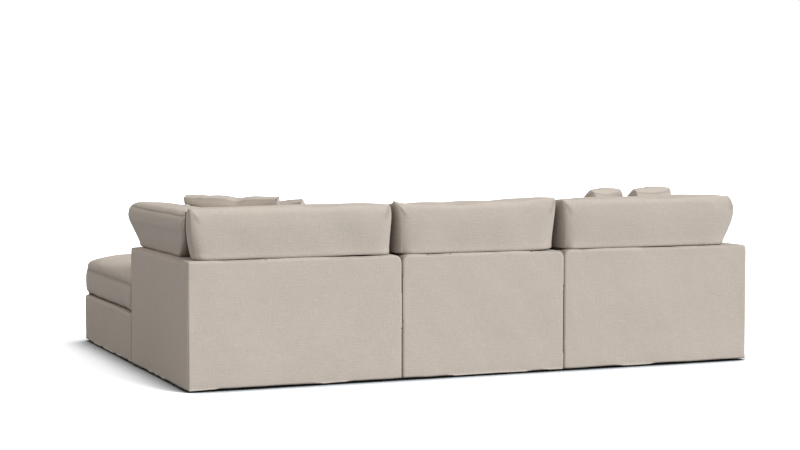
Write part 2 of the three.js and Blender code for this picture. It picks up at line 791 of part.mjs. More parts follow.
// Keeper under the joint-side rail: a strap round the bar's tongue with a flange on each side.
function connectorKeeper() {
  const room = barWidth / 2 + keeperClearance;
  const inside = connectorTop - barThickness - keeperClearance;
  const bottom = inside - keeperThickness;
  const outer = room + keeperThickness;
  const edge = outer + keeperFlange;
  const middle = barSetback;
  const under = connectorTop - keeperThickness;
  const outline = outlineOf([
    [middle - edge, connectorTop],
    [middle - edge, under],
    [middle - outer, under],
    [middle - outer, bottom],
    [middle + outer, bottom],
    [middle + outer, under],
    [middle + edge, under],
    [middle + edge, connectorTop],
    [middle + room, connectorTop],
    [middle + room, inside],
    [middle - room, inside],
    [middle - room, connectorTop],
  ]);
  const start = cornerSize - skin - fit - keeperLength;
  return alongA(outline, start, start + keeperLength);
}

// The seat zone of a section with a wall on one side: everything from the inner line on.
function cornerBaseZone() {
  const range = [innerLine - fit, cornerSize + overrun];
  return slab(range, range, [-overrun, deckTop + fit]);
}

// Section with a back wall and a side wall. hasSideCushion is false where the side wall is an arm.
function cornerSection(name, sideName, spans, hasSideCushion, pillows) {
  const group = new THREE.Group();
  const mitre = mitreCut();
  const zone = cornerBaseZone();
  const back = wallCover(cornerSize, outerCornerRadius, jointCornerRadius, zone).subtract(mitre);
  const side = wallCover(cornerSize, outerCornerRadius, outerCornerRadius, zone).subtract(mitre);
  add(group, `${name}_back_cover`, back, fabric);
  add(group, `${name}_${sideName}_cover`, exchanged(side), fabric);
  const backWood = wallFrame(cornerSize, outerCornerRadius, jointCornerRadius);
  const sideWood = wallFrame(cornerSize, outerCornerRadius, outerCornerRadius);
  const frameRange = [innerLine, cornerSize - skin - fit];
  const coverRange = [innerLine, cornerSize];
  const zones = {
    width: cornerSize,
    depth: cornerSize,
    frameA: frameRange,
    frameT: frameRange,
    coverA: coverRange,
    coverT: coverRange,
  };
  const joint = [cornerSize - skin - overrun, cornerSize + overrun];
  const notch = jointNotch(...joint, [innerLine - overrun, cornerSize - skin]);
  addBase(group, name, zones, { far: true }, [notch], backWood.add(exchanged(sideWood)));
  add(group, `${name}_connector_keeper`, connectorKeeper(), steel);

  const limits = [wallThickness + cushionGap, cornerSize - cushionGap];
  const seat = seatCushion(limits, limits, hasSideCushion);
  const backCushion = standingCushion(spans, 0).subtract(wallRoom(true));
  add(group, `${name}_seat_cushion`, seat, fabric);
  add(group, `${name}_back_cushion`, backCushion, fabric);
  const rests = [backCushion, wallRoom(true)];
  if (hasSideCushion) {
    const standing = exchanged(standingCushion(standingCushions.side, cushionLean));
    const beside = shifted(backCushion, -2 * cushionGap, 2 * cushionGap, 0);
    const clear = leaningRoom([backCushion, beside]);
    const sideCushion = mainBody(standing.subtract(wallRoom(true)).subtract(clear));
    add(group, `${name}_side_cushion`, sideCushion, fabric);
    rests.push(sideCushion);
  }
  for (const [key, label] of pillows) {
    const pillow = pressedPillow(pillowPlaces[key], rests, seat);
    add(group, label, pillow, fabric);
    rests.push(pillow);
  }
  return group;
}

function middleSection() {
  const group = new THREE.Group();
  const name = "middle";
  const zone = slab(
    [-overrun, seatSize + overrun],
    [innerLine - fit, cornerSize + overrun],
    [-overrun, deckTop + fit],
  );
  const back = wallCover(seatSize, jointCornerRadius, jointCornerRadius, zone);
  add(group, `${name}_back_cover`, back, fabric);
  const zones = {
    width: seatSize,
    depth: cornerSize,
    frameA: [skin + fit, seatSize - skin - fit],
    frameT: [innerLine, cornerSize - skin - fit],
    coverA: [0, seatSize],
    coverT: [innerLine, cornerSize],
  };
  const depths = [innerLine - overrun, cornerSize - skin];
  const notches = [
    jointNotch(-overrun, skin + overrun, depths),
    jointNotch(seatSize - skin - overrun, seatSize + overrun, depths),
  ];
  const wallWood = wallFrame(seatSize, jointCornerRadius, jointCornerRadius);
  addBase(group, name, zones, { near: true, far: true }, notches, wallWood);
  const bar = slab(
    [-barReach, seatSize + barReach],
    [barSetback - barWidth / 2, barSetback + barWidth / 2],
    [connectorTop - barThickness, connectorTop],
  );
  add(group, `${name}_connector_bar`, bar, steel);
  const seat = seatCushion(
    [cushionGap, seatSize - cushionGap],
    [wallThickness + cushionGap, cornerSize - cushionGap],
    false,
  );
  add(group, `${name}_seat_cushion`, seat, fabric);
  const cushion = standingCushion(standingCushions.middle, 0).subtract(wallRoom(false));
  add(group, `${name}_back_cushion`, cushion, fabric);
  return group;
}

function ottoman() {
  const group = new THREE.Group();
  const frameRange = [skin + fit, cornerSize - skin - fit];
  const range = [0, cornerSize];
  const zones = {
    width: cornerSize,
    depth: cornerSize,
    frameA: frameRange,
    frameT: frameRange,
    coverA: range,
    coverT: range,
  };
  addBase(group, "ottoman", zones, { near: true, far: true, rear: true }, [], null);
  const places = gridPlaces(cushionGap, cornerSize - cushionGap, 0, 0, ottomanCells);
  const cushion = boxCushion(places, places, ottomanCrown, () => Number.POSITIVE_INFINITY);
  add(group, "ottoman_cushion", cushion, fabric);
  return group;
}

const sofa = new THREE.Group();

const chaiseCorner = cornerSection("chaise", "side", standingCushions.chaise, true, [
  ["chaise_corner", "chaise_corner_pillow"],
  ["chaise_front", "chaise_front_pillow"],
]);
chaiseCorner.position.set(totalLength / 2, totalDepth / 2, 0);
sofa.add(chaiseCorner);

const middle = middleSection();
middle.position.set(totalLength / 2 - cornerSize - sectionGap, totalDepth / 2, 0);
sofa.add(middle);

const endSection = cornerSection("end", "arm", standingCushions.end, false, [
  ["end_corner", "end_corner_pillow"],
  ["end_front", "end_front_pillow"],
]);
endSection.position.set(-totalLength / 2, totalDepth / 2, 0);
endSection.scale.x = -1;
sofa.add(endSection);

const chaiseOttoman = ottoman();
chaiseOttoman.position.set(totalLength / 2, totalDepth / 2 - cornerSize - sectionGap, 0);
sofa.add(chaiseOttoman);

export default sofa;
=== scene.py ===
import bpy
import numpy as np
from mathutils import Matrix, Vector


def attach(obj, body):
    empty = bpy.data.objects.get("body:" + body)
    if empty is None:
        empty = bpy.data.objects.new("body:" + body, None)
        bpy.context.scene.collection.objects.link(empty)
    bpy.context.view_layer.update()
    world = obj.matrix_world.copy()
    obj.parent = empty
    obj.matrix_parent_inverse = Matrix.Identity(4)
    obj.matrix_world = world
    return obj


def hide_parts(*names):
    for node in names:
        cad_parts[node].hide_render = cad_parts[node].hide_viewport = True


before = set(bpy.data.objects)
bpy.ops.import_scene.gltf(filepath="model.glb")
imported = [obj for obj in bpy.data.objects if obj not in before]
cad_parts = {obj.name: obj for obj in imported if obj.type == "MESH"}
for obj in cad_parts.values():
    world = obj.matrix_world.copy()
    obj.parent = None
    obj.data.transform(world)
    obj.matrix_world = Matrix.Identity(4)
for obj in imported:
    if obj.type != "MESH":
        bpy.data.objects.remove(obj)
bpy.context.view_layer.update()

# each section has its own frame, in metres: a runs in from its outer side, t runs in from its back
sofa = {
    "seatSize": 0.889, "wall": 0.203, "wallTop": 0.62, "deckTop": 0.27, "gap": 0.003, "hem": 0.013,
    "restZ": 0.4553,  # the height at which cushions and pillows rest on a pressed seat
    "clear": 0.0015,
}
cornerSize = sofa["wall"] + sofa["seatSize"]
halfLength = (2 * cornerSize + sofa["seatSize"] + 2 * sofa["gap"]) / 2
halfDepth = (2 * cornerSize + sofa["gap"]) / 2
# x where a is zero, y where t is zero, and the direction of a along x
sections = {
    "chaise": (halfLength, halfDepth, -1),
    "middle": (halfLength - cornerSize - sofa["gap"], halfDepth, -1),
    "end": (-halfLength, halfDepth, 1),
    "ottoman": (halfLength, halfDepth - cornerSize - sofa["gap"], -1),
}
bodyOf = {"chaise": "chaise_section", "middle": "middle", "end": "end_section", "ottoman": "ottoman"}


def lines(start, stop, step, edge, farEdge=None):
    # lattice lines from start to stop, about step apart, and closer ones at the given distances from each
    # end; the end lines come twice, so that a narrow strip runs along each edge of the lattice
    farEdge = edge if farEdge is None else farEdge
    first, last = start + edge[-1], stop - farEdge[-1]
    count = max(int(round((last - first) / step)), 1)
    near = [start] + [start + d for d in edge[:-1]]
    far = [stop - d for d in farEdge[:-1]][::-1] + [stop]
    return np.concatenate([near, np.linspace(first, last, count + 1), far])


def latticeBox(xs, ys, zs, skip=()):
    # the six faces of a box on three rows of lattice lines, with shared points: the points' indices and
    # places, quads that face out, the name of each quad's face, and each corner's flat place on the cloth
    rows = (xs, ys, zs)
    sizes = [len(r) for r in rows]
    cells, patterns, sides = [], [], []
    for axis in range(3):
        p, q = (axis + 1) % 3, (axis + 2) % 3
        i, j = np.meshgrid(np.arange(sizes[p]), np.arange(sizes[q]), indexing="ij")
        for end in (0, 1):
            name = "xyz"[axis] + str(end)
            if name in skip:
                continue
            index = np.zeros(i.shape + (3,), int)
            index[..., axis] = end * (sizes[axis] - 1)
            index[..., p], index[..., q] = i, j
            key = (index[..., 0] * sizes[1] + index[..., 1]) * sizes[2] + index[..., 2]
            corners = [key[:-1, :-1], key[1:, :-1], key[1:, 1:], key[:-1, 1:]]
            # the cloth lies level along u and runs up, or to the front, along v
            u, v = (q, p) if axis == 1 else (p, q)
            flat = np.stack([rows[u][index[..., u]], rows[v][index[..., v]]], -1) + 1.7 * (2 * axis + end)
            pattern = [flat[:-1, :-1], flat[1:, :-1], flat[1:, 1:], flat[:-1, 1:]]
            if end == 0:
                corners, pattern = corners[::-1], pattern[::-1]
            cells.append(np.stack(corners, -1).reshape(-1, 4))
            patterns.append(np.stack(pattern, 2).reshape(-1, 4, 2))
            sides += [name] * len(cells[-1])
    used, quads = np.unique(np.concatenate(cells), return_inverse=True)
    index = np.stack([used // (sizes[1] * sizes[2]), used // sizes[2] % sizes[1], used % sizes[2]], -1)
    at = [row[i] for row, i in zip(rows, index.T)]
    return index, at, quads.reshape(-1, 4), np.array(sides), np.concatenate(patterns)


def shellRound(p, q, radius):
    # p and q are depths below two faces that meet in an edge. Nearer than radius to both, with
    # dp = radius - p and dq = radius - q, each of the two is shortened by max(dp, dq) / hypot(dp, dq)
    dp, dq = radius - p, radius - q
    inside = (dp > 0) & (dq > 0)
    shrink = np.where(inside, np.maximum(dp, dq) / np.maximum(np.hypot(dp, dq), 1e-9), 1)
    return np.where(inside, radius - dp * shrink, p), np.where(inside, radius - dq * shrink, q)


def roundedSlab(s, w, z, sMax, wRange, top, corners, edges):
    # a block from s = 0 to sMax: its two upper corners seen from the side get the radii in corners,
    # and then every edge of that outline gets the radius in edges, one for each side of the thickness w
    near = s < sMax / 2
    sd, zd = np.where(near, s, sMax - s), top - z
    big = np.where(near, corners[0], corners[1])
    low = w < (wRange[0] + wRange[1]) / 2
    wd = np.where(low, w - wRange[0], wRange[1] - w)
    e = np.minimum(sd, zd)
    e2, wd2 = shellRound(e, wd, np.where(low, edges[0], edges[1]))
    ds, dz = big - sd, big - zd
    corner = (ds > 0) & (dz > 0)
    shrink = (big - e2) / np.maximum(np.maximum(ds, dz), 1e-9)
    newS = np.where(corner, big - ds * shrink, np.where(sd <= zd, e2, sd))
    newZ = np.where(corner, big - dz * shrink, np.where(zd < sd, e2, zd))
    newS, newZ = shellRound(newS, newZ, big)
    return (np.where(near, newS, sMax - newS), np.where(low, wRange[0] + wd2, wRange[1] - wd2), top - newZ)


def ramp(value, start, reach):
    # (value - start) / reach, kept between 0 and 1
    return np.clip((value - start) / reach, 0, 1)


def fade(distance, reach):
    # (1 - distance / reach)^2 inside the reach, and 0 beyond it
    return (1 - ramp(distance, 0, reach)) ** 2


def waves(seed, count, shortest, longest):
    # smooth unevenness about zero: sin(2 pi d.p / length + phase), summed over count waves of random
    # direction d, length and phase, times (2 / count)^0.5
    rng = np.random.default_rng(seed)
    direction = rng.normal(size=(count, 3))
    direction /= np.linalg.norm(direction, axis=1)[:, None]
    length = np.exp(rng.uniform(np.log(shortest), np.log(longest), count))
    phase = rng.uniform(0, 2 * np.pi, count)
    turns = (direction * (2 * np.pi / length)[:, None]).T

    def at(points):
        return np.sin(points @ turns + phase).sum(1) * (2 / count) ** 0.5
    return at


def facing(turn, quads, pattern):
    # the quads the other way round, where turn is true
    return (quads[:, ::-1], pattern[:, ::-1]) if turn else (quads, pattern)


def normalsOf(points, quads):
    # each point's normal: the sum of its quads' normals, which are the cross products of their diagonals
    a, b, c, d = (points[quads[:, k]] for k in range(4))
    face = np.cross(c - a, d - b)
    total = np.zeros_like(points)
    for k in range(4):
        np.add.at(total, quads[:, k], face)
    return total / np.maximum(np.linalg.norm(total, axis=1), 1e-12)[:, None]


def relaxed(points, quads, weight, times):
    # each time, every point moves by its weight towards the mean of its neighbours
    first, second = quads.ravel(), np.roll(quads, -1, axis=1).ravel()
    count = np.bincount(first, minlength=len(points)) + np.bincount(second, minlength=len(points))
    for _ in range(times):
        total = np.zeros_like(points)
        np.add.at(total, first, points[second])
        np.add.at(total, second, points[first])
        points = points + weight[:, None] * (total / count[:, None] - points)
    return points


def sectionOf(name):
    # a piece's name begins with its section
    return name.split("_")[0]


def inSection(section, a, t, z):
    # x = x0 + direction a, y = y0 - t
    x0, y0, direction = sections[section]
    return np.stack([x0 + direction * a, y0 - t, z], -1)


def toSection(section, points):
    # a = (x - x0) direction, t = y0 - y
    x0, y0, direction = sections[section]
    return (points[:, 0] - x0) * direction, y0 - points[:, 1], points[:, 2]


def meshOf(name, points, quads, pattern=None, seam=None):
    # pattern becomes the UV map that the weave follows, and seam the point attribute that its tone follows
    mesh = bpy.data.meshes.new(name)
    mesh.vertices.add(len(points))
    mesh.vertices.foreach_set("co", np.ascontiguousarray(points, np.float32).ravel())
    mesh.loops.add(quads.size)
    mesh.loops.foreach_set("vertex_index", np.ascontiguousarray(quads, np.int32).ravel())
    mesh.polygons.add(len(quads))
    mesh.polygons.foreach_set("loop_start", np.arange(0, quads.size, quads.shape[1], dtype=np.int32))
    mesh.update(calc_edges=True)
    mesh.validate()
    if pattern is not None:
        layer = mesh.uv_layers.new(name="weave")
        layer.data.foreach_set("uv", np.ascontiguousarray(pattern, np.float32).ravel())
        mesh.attributes.new("seam", "FLOAT", "POINT").data.foreach_set("value", np.asarray(seam, np.float32))
    mesh.polygons.foreach_set("use_smooth", np.ones(len(quads), bool))
    piece = bpy.data.objects.new(name, mesh)
    bpy.context.scene.collection.objects.link(piece)
    return piece


def pointsOf(mesh):
    points = np.zeros(len(mesh.vertices) * 3, np.float32)
    mesh.vertices.foreach_get("co", points)
    return points.reshape(-1, 3).astype(float)


def setPoints(mesh, points):
    mesh.vertices.foreach_set("co", np.ascontiguousarray(points, np.float32).ravel())
    mesh.update()


def applied(piece):
    # the piece with its modifiers made real
    shown = piece.evaluated_get(bpy.context.evaluated_depsgraph_get())
    mesh = bpy.data.meshes.new_from_object(shown)
    piece.modifiers.clear()
    piece.data = mesh
    mesh.polygons.foreach_set("use_smooth", np.ones(len(mesh.polygons), bool))
    return piece


def subdivided(piece):
    modifier = piece.modifiers.new("fine", "SUBSURF")
    modifier.levels = modifier.render_levels = 1
    modifier.boundary_smooth = "PRESERVE_CORNERS"
    return applied(piece)


class Shade:
    # a socket with arithmetic: every operator adds one Math node
    def __init__(self, tree, socket):
        self.tree, self.socket = tree, socket

    def node(self, kind, settings=None, values=None, out=0):
        made = self.tree.nodes.new("ShaderNode" + kind)
        for key, value in (settings or {}).items():
            setattr(made, key, value)
        for key, value in (values or {}).items():
            socket = made.inputs[key]
            if isinstance(value, Shade):
                self.tree.links.new(value.socket, socket)
            else:
                socket.default_value = value
        return Shade(self.tree, made.outputs[out])

    def other(self, out):
        # another output of the same node
        return Shade(self.tree, self.socket.node.outputs[out])

    def math(self, operation, *others):
        return self.node("Math", {"operation": operation}, dict(enumerate((self, *others))))

    def __add__(self, value):
        return self.math("ADD", value)

    def __sub__(self, value):
        return self.math("SUBTRACT", value)

    def __mul__(self, value):
        return self.math("MULTIPLY", value)

    def __rsub__(self, value):
        return self.node("Math", {"operation": "SUBTRACT"}, {0: value, 1: self})

    __radd__, __rmul__ = __add__, __mul__

    def clamp(self):
        return self.node("Clamp", None, {"Value": self})

    def between(self, low, high):
        # 0 at low to 1 at high, smoothly, also where low is the greater
        return self.node("MapRange", {"interpolation_type": "SMOOTHSTEP"},
                         {"Value": self, "From Min": low, "From Max": high})


def newMaterial(name):
    material = bpy.data.materials.new(name)
    material.use_nodes = True
    maker = Shade(material.node_tree, None)
    return material, maker, material.node_tree.nodes["Principled BSDF"], maker.node("TexCoord", out="Object")


def noise(maker, place, scale, detail=2.0, rough=0.5, twist=0.0):
    values = {"Vector": place, "Scale": scale, "Detail": detail, "Roughness": rough, "Distortion": twist}
    return maker.node("TexNoise", None, values)


def stretched(maker, place, scale, detail, seed):
    moved = maker.node("Mapping", None, {"Vector": place, "Location": (seed, seed * 1.7, 0), "Scale": scale})
    return noise(maker, moved, 1.0, detail)


def mixColours(maker, factor, first, second):
    # the Mix node's colour sockets: factor 0, colours 6 and 7, result 2
    return maker.node("Mix", {"data_type": "RGBA"}, {0: factor, 6: first, 7: second}, 2)


def times(colour, share):
    return tuple(c * share for c in colour[:3]) + (1,)


def bumped(maker, height, strength, distance, under=None):
    values = {"Height": height, "Strength": strength, "Distance": distance}
    return maker.node("Bump", None, {**values, "Normal": under} if under else values)


def connect(surface, colour, rough, normal):
    for key, shade in (("Base Color", colour), ("Roughness", rough), ("Normal", normal)):
        surface.id_data.links.new(shade.socket, surface.inputs[key])


linen = {
    "yarn": 0.0026, "over": (-0.35, 0.35), "base": (0.553, 0.485, 0.42, 1), "pale": 1.16, "dark": 0.865,
    "slub": (15.0, 210.0), "dash": (34.0, 230.0), "nubs": (120.0, 165.0, 1), "thick": (0.6, 0.72),
    "thin": (0.4, 0.28), "paleNubs": (0.55, 0.8), "dimNubs": (0.45, 0.2), "mottle": (0.35, 0.75),
    "mottleScale": 3.1, "mottleShare": 0.1,
    "slubPale": 0.34, "dashPale": 0.29, "slubDim": 0.22, "dashDim": 0.19, "gapDim": 0.16, "nubShare": 0.08,
    # the last three values of the next line set the painted shade in narrow gaps: how far it reaches, where
    # it ends and how dark it is
    "seam": 0.42, "seamShare": 0.5, "paintedShadeReach": 0.15, "paintedShadeOpenAt": 0.74, "paintedShadeShare": 0.64,
    "rough": 0.92, "slubRough": 0.05, "yarnSmooth": 0.06, "specular": 0.22, "sheen": 0.1, "sheenRough": 0.6,
    "crumpleScale": 26.0, "crumple": (0.22, 0.002), "relief": (0.5, 0.0006), "thinRelief": 0.4,
}


def linenMaterial(name, seed):
    # plain weave on the piece's own flat pattern: yarns over and under each other, long slubs and short thick
    # dashes both ways, small nubs, slow mottling of the dye lot, and painted shade in narrow gaps
    material, maker, surface, place = newMaterial(name)
    uv = maker.node("UVMap", {"uv_map": "weave"})
    u = maker.node("SeparateXYZ", None, {"Vector": uv}, "X")
    v = u.other("Y")
    turn = np.pi / linen["yarn"]
    su, sv = (u * turn).math("SINE"), (v * turn).math("SINE")
    over = (su * sv).between(*linen["over"])
    yarns = over * su.math("ABSOLUTE") + (1 - over) * sv.math("ABSOLUTE")

    def bothWays(key, offset):
        # thick and thin stretches of yarn along u and v: a sum of the pale ones and a sum of the dim ones
        long, narrow = linen[key]
        weft = stretched(maker, uv, (long, narrow, 1), 0.6, seed + offset)
        warp = stretched(maker, uv, (narrow, long, 1), 0.6, seed + offset + 5)
        return (weft.between(*linen[side]) + warp.between(*linen[side]) for side in ("thick", "thin"))

    slub, thinSlub = bothWays("slub", 0.0)
    dash, thinDash = bothWays("dash", 11.0)
    nubs = stretched(maker, uv, linen["nubs"], 2.0, seed + 20)
    mottle = noise(maker, place, linen["mottleScale"], 3.0, 0.6).between(*linen["mottle"])
    pale = slub * linen["slubPale"] + dash * linen["dashPale"]
    pale = pale + nubs.between(*linen["paleNubs"]) * linen["nubShare"]
    dim = thinSlub * linen["slubDim"] + thinDash * linen["dashDim"] + (1 - yarns) * linen["gapDim"]
    dim = dim + nubs.between(*linen["dimNubs"]) * linen["nubShare"]
    base, light = linen["base"], times(linen["base"], linen["pale"])
    colour = mixColours(maker, pale.clamp(), base, light)
    colour = mixColours(maker, dim.clamp(), colour, times(base, linen["dark"]))
    colour = mixColours(maker, mottle * linen["mottleShare"], colour, light)
    seam = maker.node("Attribute", {"attribute_name": "seam"}, out="Fac")
    colour = mixColours(maker, seam * linen["seamShare"], colour, times(base, linen["seam"]))
    # painted shade: narrow gaps between soft pieces are deeper than the modelled ones, so where ambient
    # occlusion finds a gap the cloth's colour is darkened
    free = maker.node("AmbientOcclusion", {"samples": 8}, {"Distance": linen["paintedShadeReach"]}, "AO")
    outsidePaintedShade = free.between(0.0, linen["paintedShadeOpenAt"])
    colour = mixColours(maker, outsidePaintedShade, times(base, linen["paintedShadeShare"]), colour)
    rough = (linen["rough"] + slub * linen["slubRough"] - yarns * linen["yarnSmooth"]).clamp()
    crumple = bumped(maker, noise(maker, place, linen["crumpleScale"], 2.0, 0.45), *linen["crumple"])
    slubs = slub + dash - thinSlub * linen["thinRelief"] - thinDash * linen["thinRelief"]
    ribbed = bumped(maker, slubs, *linen["relief"], crumple)
    connect(surface, colour, rough, bumped(maker, yarns, *linen["relief"], ribbed))
    surface.inputs["Specular IOR Level"].default_value = linen["specular"]
    surface.inputs["Sheen Weight"].default_value = linen["sheen"]
    surface.inputs["Sheen Roughness"].default_value = linen["sheenRough"]
    return material


wood = {
    "pale": (0.6, 0.42, 0.24, 1), "dark": (0.43, 0.27, 0.13, 1), "pore": (0.26, 0.15, 0.07, 1),
    "grain": (5.0, 34, 34), "pores": (12, 420, 420), "rings": 9.0, "bend": 6.0, "bump": (0.3, 0.0005),
}


def woodMaterial(name):
    # softwood: growth rings as bent bands, grain stretched along the boards and fine pores
    material, maker, surface, place = newMaterial(name)
    grain = stretched(maker, place, wood["grain"], 4.0, 2.0)
    rings = maker.node("TexWave", {"wave_type": "BANDS", "bands_direction": "DIAGONAL"},
                       {"Vector": place, "Scale": wood["rings"], "Distortion": wood["bend"], "Detail": 2.0,
                        "Detail Scale": 1.4}, "Fac")
    pores = stretched(maker, place, wood["pores"], 2.0, 4.0)
    colour = mixColours(maker, rings * 0.6 + grain * 0.3, wood["pale"], wood["dark"])
    colour = mixColours(maker, pores.between(0.55, 0.75) * 0.35, colour, wood["pore"])
    connect(surface, colour, (0.62 + grain * 0.2).clamp(), bumped(maker, grain + pores * 0.5, *wood["bump"]))
    return material


metal = {"streaks": (30, 30, 900), "tarnishScale": 45.0, "tarnished": 0.55, "bump": (0.25, 0.0002)}


def metalMaterial(name, tint, rough):
    # drawn or plated steel: streaks along the wire and cloudy tarnish
    material, maker, surface, place = newMaterial(name)
    streaks = stretched(maker, place, metal["streaks"], 3.0, 1.0)
    tarnish = noise(maker, place, metal["tarnishScale"], 5.0, 0.65)
    colour = mixColours(maker, tarnish.between(0.4, 0.7) * 0.5, tint, times(tint, metal["tarnished"]))
    connect(surface, colour, (rough + tarnish * 0.25).clamp(), bumped(maker, streaks, *metal["bump"]))
    surface.inputs["Metallic"].default_value = 1.0
    return material


def feltMaterial(name, pale, dark, fibre, depth):
    # needled fibre: short tangled hairs and slow lumps
    material, maker, surface, place = newMaterial(name)
    hairs = noise(maker, place, fibre, 6.0, 0.5, 1.2)
    lumps = noise(maker, place, 24.0, 3.0)
    colour = mixColours(maker, (hairs * 0.7 + lumps * 0.3).between(0.3, 0.7), dark, pale)
    connect(surface, colour, (0.86 + hairs * 0.12).clamp(), bumped(maker, hairs + lumps, 0.6, depth))
    return material


nylon = {"black": (0.018, 0.018, 0.019, 1), "scuffed": (0.075, 0.073, 0.07, 1), "scuffs": (260, 90, 260)}


def nylonMaterial(name):
    # moulded nylon with scuffs
    material, maker, surface, place = newMaterial(name)
    scuffs = stretched(maker, place, nylon["scuffs"], 4.0, 3.0)
    colour = mixColours(maker, scuffs.between(0.55, 0.72), nylon["black"], nylon["scuffed"])
    connect(surface, colour, (0.38 + scuffs * 0.3).clamp(), bumped(maker, scuffs, 0.3, 0.0003))
    return material


coverLinen = linenMaterial("coverLinen", 1.0)
cushionLinen = linenMaterial("cushionLinen", 3.0)
pillowLinen = linenMaterial("pillowLinen", 7.0)
plated = metalMaterial("connectorPlate", (0.55, 0.56, 0.58, 1), 0.28)
nodeFinish = {
    "_frame": woodMaterial("frameWood"),
    "_spring_unit": metalMaterial("springWire", (0.36, 0.36, 0.37, 1), 0.32),
    "_connector_": plated,
    "_deck_pad": feltMaterial("deckFelt", (0.8, 0.76, 0.68, 1), (0.62, 0.57, 0.49, 1), 380.0, 0.0012),
    "_dust_cover": feltMaterial("dustCloth", (0.055, 0.053, 0.05, 1), (0.018, 0.018, 0.017, 1), 700, 0.0003),
    "_glide_": nylonMaterial("glideNylon"),
}
for nodeName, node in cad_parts.items():
    for part, finish in nodeFinish.items():
        if part in nodeName:
            node.data.materials.clear()
            node.data.materials.append(finish)
print("materials made")

cover = {
    "edge": 0.012, "jointCorner": 0.038, "outerCorner": 0.034, "armCorner": 0.024, "armEdge": 0.022,
    "baseEdge": 0.02, "step": 0.022, "cloth": 0.0035, "flare": 0.0018, "flareReach": 0.05, "hemWave": 0.0006,
    "puff": 0.0015, "crease": 0.0004, "plumb": 0.012, "upright": 0.018, "mitreBlend": 0.03, "calm": 0.05,
    "seam": 0.0035, "tuckedIn": 0.01, "underDeck": 0.004, "aboveTop": 0.002, "belowDeck": 0.0005,
    "hemReach": 0.2,
    # count, shortest and longest of the waves
    "slow": (7, 0.22, 0.6), "fine": (12, 0.05, 0.16), "hem": (8, 0.1, 0.35),
}
roundSteps = (0.0, 0.0025, 0.006, 0.01, 0.016, 0.024, 0.038)
edgeSteps = (0.0, 0.002, 0.005, 0.0085, 0.012, 0.02)
baseSteps = (0.0, 0.003, 0.007, 0.011, 0.016, 0.026)
hemSteps = (0.0, 0.008, 0.02)


def finishPiece(piece, body, node, material):
    piece.data.materials.clear()
    piece.data.materials.append(material)
    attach(piece, body)
    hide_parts(node)
    return piece


def coverCloth(name, points, quads, pattern, seed, topZ, calm, seam):
    # stretched cloth over padding: slow bulges and fine creases along the normals, and a hem that waves and
    # flares, all by exp(-height above the hem / reach); calm is 0 where the cover stands against a neighbour
    # and grows to 1 away from it. The cloth then gets its thickness inwards
    section = sectionOf(name)
    quads, pattern = facing(section == "end", quads, pattern)
    normal = normalsOf(points, quads)
    slow, fine, hem = (waves(seed + k, *cover[key]) for k, key in enumerate(("slow", "fine", "hem")))
    low = np.exp(-(points[:, 2] - sofa["hem"]) / cover["flareReach"])
    swell = cover["puff"] * slow(points) + cover["crease"] * fine(points)
    flare = low * cover["flare"] * 0.5 * (1 + hem(points * [1, 1, 0]))
    moved = points + normal * (calm * swell)[:, None] + normal * [1, 1, 0] * (calm * flare)[:, None]
    drop = low * cover["hemWave"] * hem(points * [1, 1, 0] + 3)
    moved[:, 2] += np.where(points[:, 2] < sofa["hem"] + cover["hemReach"], drop, 0)
    moved[:, 2] = np.minimum(moved[:, 2], topZ)
    piece = meshOf(name + "_linen", moved, quads, pattern, seam)
    thick = piece.modifiers.new("cloth", "SOLIDIFY")
    thick.thickness, thick.offset = cover["cloth"], -1
    finishPiece(applied(piece), bodyOf[section], name, coverLinen)


def wallCover(name, length, corners, mitred, along, seed):
    # a slab on its hem: lattice lines run along its length s, through its thickness w and up z; a mitred end
    # starts at s = w, so that two walls meet on the diagonal, where both take the back wall's form
    wall, top, hem = sofa["wall"], sofa["wallTop"], sofa["hem"]
    share = lines(0, length, cover["step"], roundSteps) / length
    ws = lines(0, wall, cover["step"], edgeSteps)
    zs = lines(hem, top, cover["step"], hemSteps, roundSteps)
    under = sofa["deckTop"] - cover["underDeck"]
    zs[np.argmin(abs(zs - under))] = under
    skip = ("z0", "x0") if mitred else ("z0",)
    index, (_, w, z), quads, sides, pattern = latticeBox(share * length, ws, zs, skip)
    start = w if mitred else 0
    s = start + share[index[:, 0]] * (length - start)
    square = (s, w, z)
    s, w, z = roundedSlab(*square, length, (0, wall), top, corners[:2], (corners[2], cover["edge"]))
    if along == "t":
        w2, s2, z2 = roundedSlab(square[1], square[0], square[2], length, (0, wall), top,
                                 (corners[2], corners[1]), (corners[0], cover["edge"]))
        blend = np.exp(-(square[0] - square[1]) / cover["mitreBlend"])
        s, w, z = (own + blend * (back - own) for own, back in ((s, s2), (w, w2), (z, z2)))
    if mitred:
        s, w = shellRound(s, w, cover["plumb"])
    # the inner face is left open below the deck
    shown = (sides != "y1") | (z[quads].max(1) > sofa["deckTop"] + 0.001)
    quads, pattern = quads[shown], pattern[shown]
    seam = 0.5 * np.exp(-(((s - w) / cover["seam"]) ** 2)) if mitred else np.zeros(len(s))
    calm = ramp(s - w if mitred else s, 0, cover["calm"])
    if corners[1] == cover["jointCorner"]:
        calm = calm * ramp(length - s, 0, cover["calm"])
    points = inSection(sectionOf(name), *((s, w) if along == "a" else (w, s)), z)
    quads, pattern = facing(along == "t", quads, pattern)
    coverCloth(name, points, quads, pattern, seed, top + cover["aboveTop"], calm, seam)


